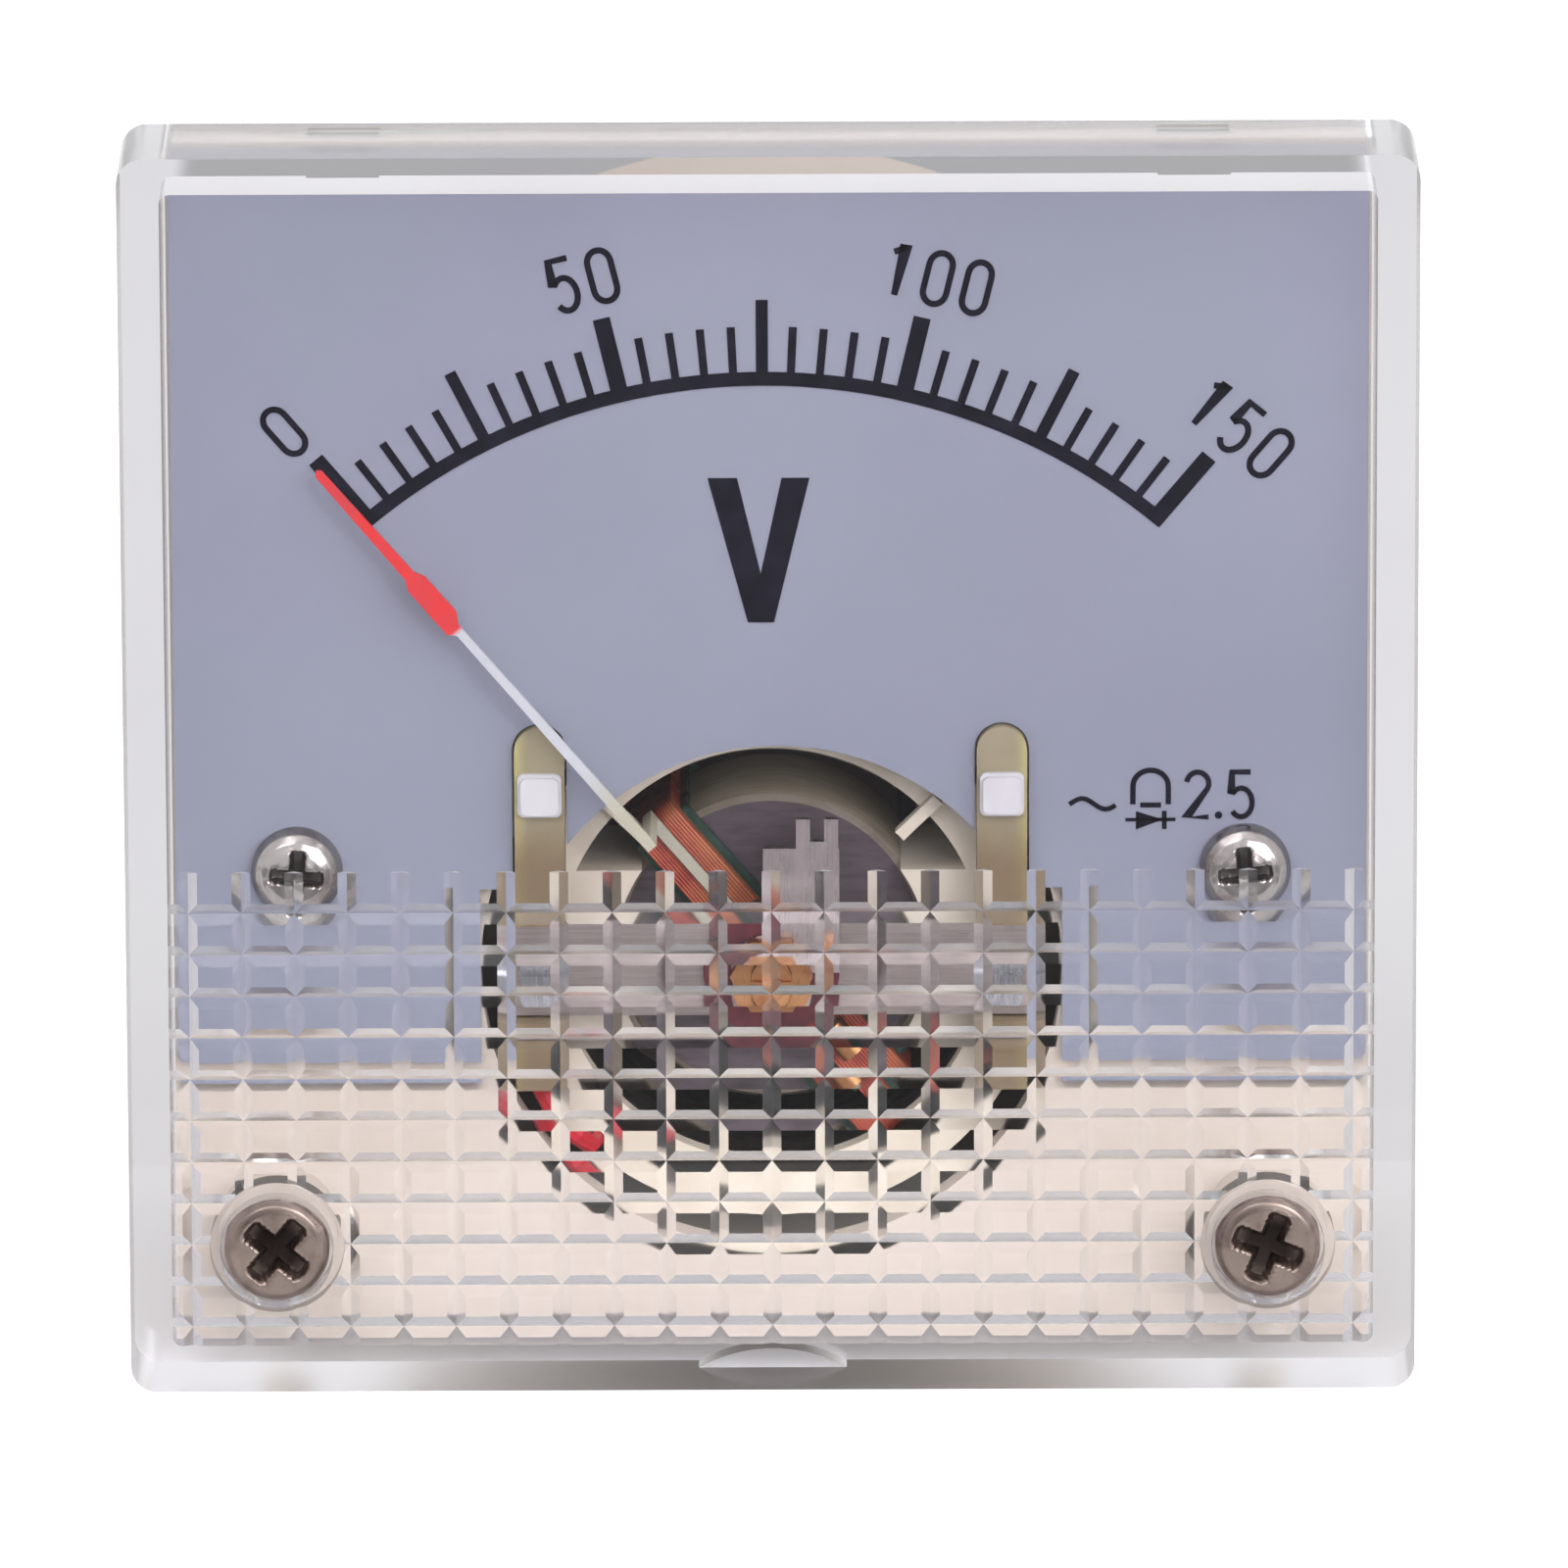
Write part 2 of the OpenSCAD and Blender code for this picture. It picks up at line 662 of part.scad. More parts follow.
module case() color([0.87, 0.83, 0.74]) {
    low_z = face_lift - fixing_z;
    high_z = face_lift + fixing_z;
    difference() {
        union() {
            slab(flange_front, 0) round_rect(flange_w, flange_h, cover_inner_r, face_lift);
            difference() {
                rod(case_r, -cut, case_back);
                rod(case_r - case_wall, -2 * cut, rear_inside);
                difference() {
                    rod(case_r + cut, case_back - rear_step, case_back + cut);
                    rod(case_r - case_wall, case_back - rear_step - cut, case_back + 2 * cut);
                }
            }
            both_sides() dial_boss();
            both_sides() terminal_boss();
            both_sides() rod(pillar_r, pillar_front, flange_front + cut, fixing_x, low_z);
            both_sides() rod(dial_head_r, dial_back, flange_front + cut, dial_screw_x, dial_screw_z);
            both_sides() rod(dial_head_r, dial_back, flange_front + cut, fixing_x, high_z);
        }
        rod(well_r, flange_front - cut, cut, 0, pivot_z);
        both_sides() hook_recess();
        both_sides() rod(dial_shank_r + fit, dial_back - cut, dial_back + dial_shank_len + 0.4,
                         dial_screw_x, dial_screw_z);
        both_sides() rod(m3_clear_r, pillar_front - cut, low_insert_y, fixing_x, low_z);
        both_sides() insert_hole(low_z, low_insert_y - fit);
        both_sides() insert_hole(high_z, high_insert_y - fit);
        both_sides() rod(rivet_r + fit, flange_front - cut, rivet_end + fit,
                         post_x, pivot_z + rivet_up);
        both_sides() rod(terminal_shank_r + free_gap, board_back - cut, case_back + cut,
                         terminal_x, terminal_z);
    }
}

module mounting_stud(z, anchor_front, tapped) {
    difference() {
        union() {
            rod(insert_r, anchor_front, -insert_lip - fit, fixing_x, z);
            rod(insert_neck_r, -insert_lip - cut, 0, fixing_x, z);
            rod(m3_r, -cut, stud_len - tip_chamfer, fixing_x, z);
            taper(m3_r, m3_r - tip_chamfer, stud_len - tip_chamfer, stud_len, fixing_x, z);
        }
        if (tapped) rod(m3_core_r + fit, anchor_front - cut, cover_screw_tip + fit, fixing_x, z);
    }
}

module mounting_studs() color([0.85, 0.72, 0.4]) both_sides() {
    mounting_stud(face_lift - fixing_z, low_insert_y, true);
    mounting_stud(face_lift + fixing_z, high_insert_y, false);
}

// ---- dial -----------------------------------------------------------------

module dial_plate() color([0.61, 0.62, 0.7]) {
    h = dial_top_z - dial_low_z;
    difference() {
        slab(dial_front, dial_back) round_rect(dial_w, h, cover_inner_r, dial_low_z + h / 2);
        intersection() {
            rod(arch_r, dial_front - cut, dial_back + cut, opening_shift, pivot_z - arch_drop);
            block(opening_shift - arch_half_w, opening_shift + arch_half_w,
                  dial_front - 2 * cut, dial_back + 2 * cut, dial_low_z, pivot_z + arch_r);
        }
        block(-cutout_half_w, cutout_half_w, dial_front - cut, dial_back + cut,
              dial_low_z - cut, pivot_z + cutout_shoulder);
        both_sides() block(post_in_x - free_gap, post_out_x + free_gap,
                           dial_front - cut, dial_back + cut,
                           pivot_z, pivot_z + post_top - post_w / 2);
        both_sides() rod(post_w / 2 + free_gap, dial_front - cut, dial_back + cut,
                         post_x, pivot_z + post_top - post_w / 2);
        both_sides() rod(dial_shank_r + free_gap, dial_front - cut, dial_back + cut,
                         dial_screw_x, dial_screw_z);
    }
}

// One mark of the scale, flat, counted from zero on the left.
module scale_mark(index) {
    major = index % 10 == 0;
    middle = index % 5 == 0;
    w = major ? major_mark_w : middle ? middle_mark_w : minor_mark_w;
    top = middle ? long_mark_r : short_mark_r;
    root = arc_r + arc_w / 3;
    rotate(scale_sweep / 2 - index * scale_sweep / divisions)
        translate([-w / 2, root]) square([w, top - root]);
}

module scale_arc() {
    half = scale_sweep / 2 + atan(major_mark_w / 2 / arc_r);
    far = 2 * arc_r;
    intersection() {
        difference() {
            circle(arc_r + arc_w, $fn = 180);
            circle(arc_r, $fn = 180);
        }
        polygon([[0, 0], [-far * sin(half), far * cos(half)], [-far * sin(half), far],
                 [far * sin(half), far], [far * sin(half), far * cos(half)]]);
    }
}

module scale_marks() color([0.16, 0.16, 0.18]) translate([-print_shift, 0, pivot_z])
    slab(dial_front - ink_t, dial_front) {
        scale_arc();
        for (k = [0:divisions]) scale_mark(k);
    }

module dial_screw(turn) {
    brim = 0.5;
    y = dial_front - dial_head_h;
    difference() {
        union() {
            taper(dial_head_r * 0.72, dial_head_r, y, dial_front - brim, dial_screw_x, dial_screw_z);
            rod(dial_head_r, dial_front - brim, dial_front, dial_screw_x, dial_screw_z);
            rod(dial_shank_r, dial_front - cut, dial_back + dial_shank_len,
                dial_screw_x, dial_screw_z);
        }
        cross_recess(dial_head_r * 0.6, dial_head_h * 0.6, y, dial_screw_x, dial_screw_z, turn);
    }
}

module dial_screws() color([0.75, 0.74, 0.74]) both_sides() dial_screw(5);

// ---- movement frame and magnet ---------------------------------------------

module frame_web() {
    reach = yoke_in_r + 0.5;
    web_back = core_back - 1.5;
    intersection() {
        difference() {
            union() {
                rod(reach, frame_front, ring_back);
                rod(yoke_in_r - free_gap, frame_front, web_back);
            }
            rod(core_r + fit, frame_front - cut, core_back);
        }
        block(0, reach, frame_front - cut, core_back, -web_half, web_half);
    }
}

module frame_post() {
    round_z = post_top - post_w / 2;
    difference() {
        union() {
            block(post_in_x, post_out_x, post_front, flange_front - fit, -post_bottom, round_z);
            rod(post_w / 2, post_front, flange_front - fit, post_x, round_z);
            block(post_in_x, post_out_x, flange_front - cut, frame_front - fit,
                  -post_bottom, post_foot_up);
        }
        block(0, post_out_x + cut, post_front - cut, bridge_back,
              -bridge_half - free_gap, bridge_half + free_gap);
        rod(rivet_r + fit, post_front - cut, 0, post_x, rivet_up);
        rod(bridge_shank_r + fit, bridge_back - cut, frame_front + cut, post_x, 0);
    }
}

module frame_posts() color([0.65, 0.61, 0.5]) translate([0, 0, pivot_z])
    both_sides() frame_post();

module pointer_stop() {
    stop_angle = rest_angle + 5;
    rotate([0, stop_angle, 0])
        block(-stop_half, stop_half, frame_front - stop_proud, frame_front + cut,
              step_r - stop_reach, yoke_in_r + 1);
}

module movement_frame() color([0.87, 0.83, 0.74]) translate([0, 0, pivot_z]) difference() {
    union() {
        difference() {
            intersection() {
                rod(frame_r, frame_front, frame_back);
                rod(case_r - case_wall - free_gap, frame_front - cut, frame_back + cut, 0, -pivot_z);
            }
            rod(yoke_in_r, frame_front - cut, frame_back + cut);
            rod(yoke_out_r + fit, ring_back, frame_back - frame_ring_t);
        }
        both_sides() frame_web();
        both_sides() pointer_stop();
    }
    both_sides() rod(bridge_shank_r + fit, frame_front - cut, screw_tip_front + fit, post_x, 0);
    both_sides() rod(bridge_shank_r + fit, screw_tip_rear - fit, frame_back + cut, post_x, 0);
    rotate([0, wire_notch_angle, 0])
        block(-wire_notch_w / 2, wire_notch_w / 2, frame_front - cut, frame_back + cut,
              yoke_out_r + free_gap, frame_r + cut);
}

module frame_rivets() color([0.93, 0.93, 0.92]) both_sides() {
    z = pivot_z + rivet_up;
    crown = rivet_head_h / 2;
    translate([post_x, 0, z]) {
        slab(post_front - crown, post_front)
            round_rect(2 * rivet_head_half, 2 * rivet_head_half, rivet_corner_r, 0);
        slab(post_front - rivet_head_h, post_front - crown + cut)
            round_rect(2 * (rivet_head_half - rivet_edge), 2 * (rivet_head_half - rivet_edge),
                       rivet_corner_r, 0);
    }
    rod(rivet_r, post_front - cut, rivet_end, post_x, z);
}

module yoke_ring() color([0.35, 0.34, 0.33]) translate([0, 0, pivot_z]) difference() {
    rod(yoke_out_r, yoke_front, yoke_back);
    rod(yoke_in_r, yoke_front - cut, yoke_back + cut);
}

module core_magnet() color([0.55, 0.52, 0.42]) translate([0, 0, pivot_z]) {
    edge = 0.3;
    taper(core_r - edge, core_r, core_front, core_front + edge);
    rod(core_r, core_front + edge, core_back - edge);
    taper(core_r, core_r - edge, core_back - edge, core_back);
}

// ---- bridges, jewels and zero lever ----------------------------------------

module bridge_plate(y0, y1) {
    union() {
        block(-post_out_x, post_out_x, y0, y1, -bridge_half, bridge_half);
        rod(bridge_hub_r, y0, y1);
    }
}

module front_bridge() color([0.72, 0.68, 0.66]) translate([0, 0, pivot_z]) difference() {
    union() {
        bridge_plate(bridge_front, bridge_back);
        rod(collar_r, nut_back + fit, bridge_front + cut);
    }
    rod(jewel_r + fit, nut_back - cut, bridge_back + cut);
    both_sides() rod(bridge_shank_r + free_gap, bridge_front - cut, bridge_back + cut, post_x, 0);
}

module bridge_screw_front(x) {
    head_y = bridge_front - 0.8;
    difference() {
        union() {
            rod(bridge_head_r, head_y, bridge_front, x, pivot_z);
            rod(bridge_shank_r, head_y, screw_tip_front, x, pivot_z);
        }
        driver_slot(0.35, bridge_head_r + cut, head_y - cut, head_y + 0.4, x, pivot_z);
    }
}

module front_bridge_screws() color([0.7, 0.7, 0.72]) for (s = [-1, 1]) bridge_screw_front(s * post_x);

module rear_bridge() color([0.72, 0.68, 0.66]) translate([0, 0, pivot_z]) difference() {
    bridge_plate(rear_bridge_y, rear_bridge_back);
    rod(jewel_r + fit, rear_bridge_y - cut, rear_bridge_back + cut);
    both_sides() rod(bridge_shank_r + free_gap, rear_bridge_y - cut, rear_bridge_back + cut, post_x, 0);
}

module bridge_screw_rear(x) {
    head_back = rear_bridge_back + 0.8;
    difference() {
        union() {
            rod(bridge_head_r, rear_bridge_back, head_back, x, pivot_z);
            rod(bridge_shank_r, screw_tip_rear, head_back, x, pivot_z);
        }
        driver_slot(0.35, bridge_head_r + cut, head_back - 0.4, head_back + cut, x, pivot_z);
    }
}

module rear_bridge_screws() color([0.7, 0.7, 0.72]) for (s = [-1, 1]) bridge_screw_rear(s * post_x);

module front_jewel_screw() color([0.85, 0.72, 0.4]) translate([0, 0, pivot_z]) difference() {
    rod(jewel_r, jewel_front, front_cup_y);
    taper(0.05, cup_r, front_cup_y - cup_depth, front_cup_y + 0.001);
    driver_slot(0.3, jewel_r + cut, jewel_front - cut, jewel_front + 0.4, 0, 0);
}

module rear_jewel_screw() color([0.85, 0.72, 0.4]) translate([0, 0, pivot_z]) {
    back = rear_bridge_back + nut_t + 0.5;
    difference() {
        rod(jewel_r, rear_cup_y, back);
        taper(cup_r, 0.05, rear_cup_y - 0.001, rear_cup_y + cup_depth);
        driver_slot(0.3, jewel_r + cut, back - 0.4, back + cut, 0, 0);
    }
}

module front_lock_nut() color([0.8, 0.7, 0.45])
    hex_nut(nut_flats, jewel_r + fit, nut_front, nut_back, 0, pivot_z);

module rear_lock_nut() color([0.8, 0.7, 0.45])
    hex_nut(nut_flats, jewel_r + fit, rear_bridge_back, rear_bridge_back + nut_t, 0, pivot_z);

module fibre_washer() color([0.4, 0.12, 0.16]) translate([0, 0, pivot_z]) difference() {
    rod(washer_r, washer_front, washer_back);
    rod(collar_r + fit, washer_front - cut, washer_back + cut);
}

module zero_lever() color([0.8, 0.77, 0.76]) translate([0, 0, pivot_z]) {
    leg_z = washer_r + 0.15;
    difference() {
        union() {
            rod(lever_hub_r, lever_front, lever_back);
            block(lever_shift - lever_w / 2, lever_shift + lever_w / 2,
                  lever_front, lever_back, 0, lever_top);
            block(fork_x - fork_w / 2, fork_x + fork_w / 2, lever_front, lever_back,
                  lever_top - cut, fork_top);
            block(-leg_w / 2, leg_w / 2, lever_front + fit, front_spring_y + ribbon_w,
                  leg_z, leg_z + leg_w);
        }
        rod(collar_r + running, lever_front - cut, lever_back + cut);
        block(fork_x - fork_slot / 2, fork_x + fork_slot / 2, lever_front - cut, lever_back + cut,
              lever_top + fork_slot / 2, fork_top + cut);
    }
}

// Points of a flat spiral from radius a to b over the given turns.
function spiral(a, b, turns, steps) =
    [for (k = [0:steps]) let (t = k / steps, r = a + (b - a) * t, g = 360 * turns * t)
        [r * sin(g), r * cos(g)]];

module hairspring(y) {
    steps = 26 * spring_turns;
    inner = spiral(spring_in_r, spring_out_r - ribbon_t, spring_turns, steps);
    outer = spiral(spring_in_r + ribbon_t, spring_out_r, spring_turns, steps);
    last = len(outer) - 1;
    translate([0, 0, pivot_z]) slab(y, y + ribbon_w)
        polygon(concat(inner, [for (k = [last:-1:0]) outer[k]]));
}

module front_hairspring() color([0.72, 0.45, 0.25]) hairspring(front_spring_y);

module rear_hairspring() color([0.72, 0.45, 0.25]) hairspring(rear_spring_y);

// ---- moving coil and pointer ------------------------------------------------

// A rectangle in Y and Z with round corners, standing across X.
module coil_outline(w, y0, y1, half, r) {
    mid = (y0 + y1) / 2;
    span = y1 - y0;
    translate([-w / 2, mid, 0]) rotate([90, 0, 90]) linear_extrude(w)
        round_rect(span, 2 * half, r, 0);
}

module coil_former() color([0.2, 0.3, 0.26]) at_rest() difference() {
    coil_outline(former_w, former_front, former_back, former_out_r, winding_corner_r * 0.5);
    coil_outline(former_w + 2 * cut, core_front - coil_gap, core_back + coil_gap,
                 former_in_r, winding_corner_r * 0.3);
}

module coil_winding() color([0.75, 0.36, 0.24]) at_rest() difference() {
    coil_outline(winding_w, coil_front, coil_back, coil_out_r, winding_corner_r);
    coil_outline(winding_w + 2 * cut, former_front - fit, former_back + fit,
                 former_out_r + fit, winding_corner_r * 0.5);
}

module front_staff() color([0.7, 0.7, 0.72]) translate([0, 0, pivot_z]) {
    shoulder = front_cup_y + 0.05;
    tip = front_cup_y - cup_depth + tip_gap * 2;
    taper(0.04, cup_r - tip_gap * 1.6, tip, shoulder);
    taper(cup_r - tip_gap * 1.6, staff_r, shoulder, shoulder + 0.15);
    rod(staff_r, shoulder + 0.15, coil_front - fit);
    rod(collet_r, front_spring_y - 0.1, front_spring_y + ribbon_w + 0.1);
}

module rear_staff() color([0.7, 0.7, 0.72]) translate([0, 0, pivot_z]) {
    shoulder = rear_cup_y - 0.05;
    tip = rear_cup_y + cup_depth - tip_gap * 2;
    rod(staff_r, coil_back + fit, shoulder - 0.15);
    taper(staff_r, cup_r - tip_gap * 1.6, shoulder - 0.15, shoulder);
    taper(cup_r - tip_gap * 1.6, 0.04, shoulder, tip);
    rod(collet_r, rear_spring_y - 0.1, rear_spring_y + ribbon_w + 0.1);
}

module pointer() color([0.85, 0.3, 0.28]) at_rest() {
    hub_back = coil_front - fit;
    hub_front = hub_back - 0.3;
    hub_r = winding_w / 2;
    leg_half = 0.25;
    broad_end = blade_start + blade_broad_len;
    difference() {
        union() {
            rod(hub_r, hub_front, hub_back);
            block(-arm_w / 2, arm_w / 2, hub_front, hub_back, -tail_len, step_r + leg_half);
        }
        rod(staff_r + fit, hub_front - cut, hub_back + cut);
    }
    block(-arm_w / 2, arm_w / 2, pointer_front, hub_back, step_r - leg_half, step_r + leg_half);
    slab(pointer_front, pointer_back)
        polygon([[-arm_w / 2, step_r], [arm_w / 2, step_r],
                 [arm_end_w / 2, blade_start], [blade_w / 2, blade_start + blade_w / 2],
                 [blade_w / 2, broad_end], [tip_w * 0.7, broad_end + blade_w / 2],
                 [tip_w / 2, pointer_len - tip_w / 2], [0, pointer_len],
                 [-tip_w / 2, pointer_len - tip_w / 2], [-tip_w * 0.7, broad_end + blade_w / 2],
                 [-blade_w / 2, broad_end], [-blade_w / 2, blade_start],
                 [-arm_end_w / 2, blade_start - blade_w / 3]]);
}

module balance_weights() color([0.8, 0.7, 0.45]) at_rest() {
    hub_front = coil_front - fit - 0.3;
    z = -tail_len + weight_len / 2 + 0.2;
    translate([0, hub_front - weight_r - fit, z - weight_len / 2])
        cylinder(h = weight_len, r = weight_r);
}

// ---- terminals and circuit --------------------------------------------------

module terminal_studs() color([0.85, 0.72, 0.4]) both_sides() {
    chamfer_y = terminal_tip - tip_chamfer;
    rod(terminal_head_r, terminal_head_y, board_front - fit, terminal_x, terminal_z);
    rod(terminal_shank_r, terminal_head_y, terminal_nut_back + cut, terminal_x, terminal_z);
    rod(terminal_r, terminal_nut_back + fit, chamfer_y, terminal_x, terminal_z);
    taper(terminal_r, terminal_r - tip_chamfer, chamfer_y, terminal_tip, terminal_x, terminal_z);
}

module terminal_lock_nuts() color([0.82, 0.8, 0.78]) both_sides()
    hex_nut(terminal_flats, terminal_shank_r + fit, case_back, lock_nut_back, terminal_x, terminal_z);

module terminal_washers() color([0.82, 0.8, 0.78]) both_sides() difference() {
    rod(terminal_washer_r, lock_nut_back, terminal_washer_back, terminal_x, terminal_z);
    rod(terminal_shank_r + free_gap, lock_nut_back - cut, terminal_washer_back + cut,
        terminal_x, terminal_z);
}

module terminal_nuts() color([0.82, 0.8, 0.78]) both_sides()
    hex_nut(terminal_flats, terminal_shank_r + fit, terminal_washer_back, terminal_nut_back,
            terminal_x, terminal_z);

module circuit_board() color([0.3, 0.42, 0.24]) difference() {
    slab(board_front, board_back) round_rect(board_w, board_h, 1, board_z);
    both_sides() rod(terminal_shank_r + free_gap, board_front - cut, board_back + cut,
                     terminal_x, terminal_z);
}

// A part that lies along X on the board between two bent leads.
module leaded_part(r, length, x, z) {
    y = board_front - r - 0.2;
    lead = length / 2 + 0.8;
    translate([x - length / 2, y, z]) rotate([0, 90, 0]) cylinder(h = length, r = r);
    for (s = [-1, 1]) {
        translate([x + s * lead, y, z]) rotate([0, -s * 90, 0])
            cylinder(h = 1.2, r = lead_r * 0.9);
        rod(lead_r, y - lead_r, board_front - fit, x + s * lead, z);
    }
}

module diodes() color([0.15, 0.15, 0.16])
    for (k = [0:3]) leaded_part(diode_r, diode_len, 0, board_z - 0.5 + (k - 1.5) * diode_pitch);

module series_resistor() color([0.55, 0.68, 0.72])
    leaded_part(resistor_r, resistor_len, -resistor_x,
                board_z + board_h / 2 - resistor_r - resistor_edge);

function unit(v) = v / norm(v);

// Direction of a route at point k, from its neighbours.
function heading(route, k) =
    let (a = route[max(k - 1, 0)], b = route[min(k + 1, len(route) - 1)]) unit(b - a);

// One ring of points round a route's point, square to its heading.
function wire_ring(centre, dir, r, sides) =
    let (side = unit(cross(dir, [0.2, 0.1, 1])), up = cross(side, dir))
    [for (j = [0:sides - 1]) let (g = 360 * j / sides) centre + r * (cos(g) * side + sin(g) * up)];

// A round wire swept along the points of its route.
module wire(route, r) {
    sides = 8;
    rings = len(route);
    points = [for (k = [0:rings - 1]) each wire_ring(route[k], heading(route, k), r, sides)];
    skin = [for (k = [0:rings - 2], j = [0:sides - 1])
        let (a = k * sides + j, b = k * sides + (j + 1) % sides) [a, b, b + sides, a + sides]];
    start = [for (j = [sides - 1:-1:0]) j];
    finish = [for (j = [0:sides - 1]) (rings - 1) * sides + j];
    polyhedron(points = points, faces = concat([start], skin, [finish]));
}

module red_wire() color([0.78, 0.12, 0.18]) wire(RED_ROUTE, wire_r);

module blue_wire() color([0.2, 0.3, 0.6]) wire(BLUE_ROUTE, wire_r);

// ---- assembly ---------------------------------------------------------------

cover();
cover_screws();
case();
mounting_studs();
dial_plate();
scale_marks();
dial_screws();
movement_frame();
frame_posts();
frame_rivets();
yoke_ring();
core_magnet();
front_bridge();
front_bridge_screws();
rear_bridge();
rear_bridge_screws();
front_jewel_screw();
rear_jewel_screw();
front_lock_nut();
rear_lock_nut();
fibre_washer();
zero_lever();
front_hairspring();
rear_hairspring();
coil_former();
coil_winding();
front_staff();
rear_staff();
pointer();
balance_weights();
terminal_studs();
terminal_lock_nuts();
terminal_washers();
terminal_nuts();
circuit_board();
diodes();
series_resistor();
red_wire();
blue_wire();
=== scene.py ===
import math

import bmesh
import bpy
from mathutils import Matrix, Vector


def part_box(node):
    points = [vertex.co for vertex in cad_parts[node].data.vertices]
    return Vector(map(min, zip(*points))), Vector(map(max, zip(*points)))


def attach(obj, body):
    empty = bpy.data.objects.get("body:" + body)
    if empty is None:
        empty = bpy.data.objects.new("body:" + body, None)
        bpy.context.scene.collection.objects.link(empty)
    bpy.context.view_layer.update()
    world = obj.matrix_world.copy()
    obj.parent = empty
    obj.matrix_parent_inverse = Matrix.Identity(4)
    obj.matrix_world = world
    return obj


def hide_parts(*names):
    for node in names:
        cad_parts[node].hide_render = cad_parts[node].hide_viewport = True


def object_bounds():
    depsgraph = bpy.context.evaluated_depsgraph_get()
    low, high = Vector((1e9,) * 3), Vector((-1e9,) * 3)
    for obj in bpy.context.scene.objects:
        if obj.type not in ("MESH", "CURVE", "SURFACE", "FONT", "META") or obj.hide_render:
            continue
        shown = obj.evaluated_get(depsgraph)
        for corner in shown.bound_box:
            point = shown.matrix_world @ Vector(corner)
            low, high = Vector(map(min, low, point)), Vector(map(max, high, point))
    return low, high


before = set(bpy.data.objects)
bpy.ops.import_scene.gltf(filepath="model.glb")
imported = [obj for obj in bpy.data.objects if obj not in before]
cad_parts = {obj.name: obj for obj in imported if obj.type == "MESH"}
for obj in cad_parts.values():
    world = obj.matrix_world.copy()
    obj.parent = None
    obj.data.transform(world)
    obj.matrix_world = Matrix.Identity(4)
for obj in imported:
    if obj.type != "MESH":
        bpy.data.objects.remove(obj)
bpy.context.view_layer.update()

MM = 0.001

# The coil's axis is at X 0 and this height; the scale's print is centred a little to its left.
PIVOT_Z = -8.7 * MM
PRINT_X = -0.35 * MM
REST_TURN = math.radians(40.5)
INK_RAISED = 0.04 * MM

# Where the screws and studs are: half their spacing across, and their heights.
CORNER_X = 24.7 * MM
CORNER_LOW, CORNER_HIGH = -21.85 * MM, 26.85 * MM
DIAL_SCREW_X, DIAL_SCREW_Z = 23.6 * MM, -3.4 * MM
TERMINAL_X, TERMINAL_Z = 12.0 * MM, 3.0 * MM

# Roughness that the cover's mould leaves on its ribs, its walls and its rear edge.
RIB_ROUGHNESS = 0.1
WALL_ROUGHNESS = 0.16
EDGE_ROUGHNESS = 0.9
# What the cover lets through of lamplight, and the surfaces after which any light leaves it.
CLEAR_TINT = (0.93, 0.93, 0.94, 1.0)
SURFACES_MET = 3.5

# Points of a turned part's spun sheet closer than this are one point.
SEAM = 0.0005 * MM
# Edges of a turned part that turn more than this stay sharp.
SHARP_EDGE = math.radians(38)

# Points of an ink or screw mesh closer than this are welded.
WELD = 1e-7

# The kinds of sockets that the trees of nodes take and give.
PLACE, NUMBER, COUNT = "NodeSocketVector", "NodeSocketFloat", "NodeSocketInt"
COLOUR, FINISH, SHAPE = "NodeSocketColor", "NodeSocketMaterial", "NodeSocketGeometry"


def tone(r, g, b):
    """A colour of 0 to 255 parts, as the light values that shaders take."""
    def part(v):
        v = v / 255
        return v / 12.92 if v <= 0.04045 else ((v + 0.055) / 1.055) ** 2.4
    return (part(r), part(g), part(b), 1.0)


# ---- wiring of nodes --------------------------------------------------

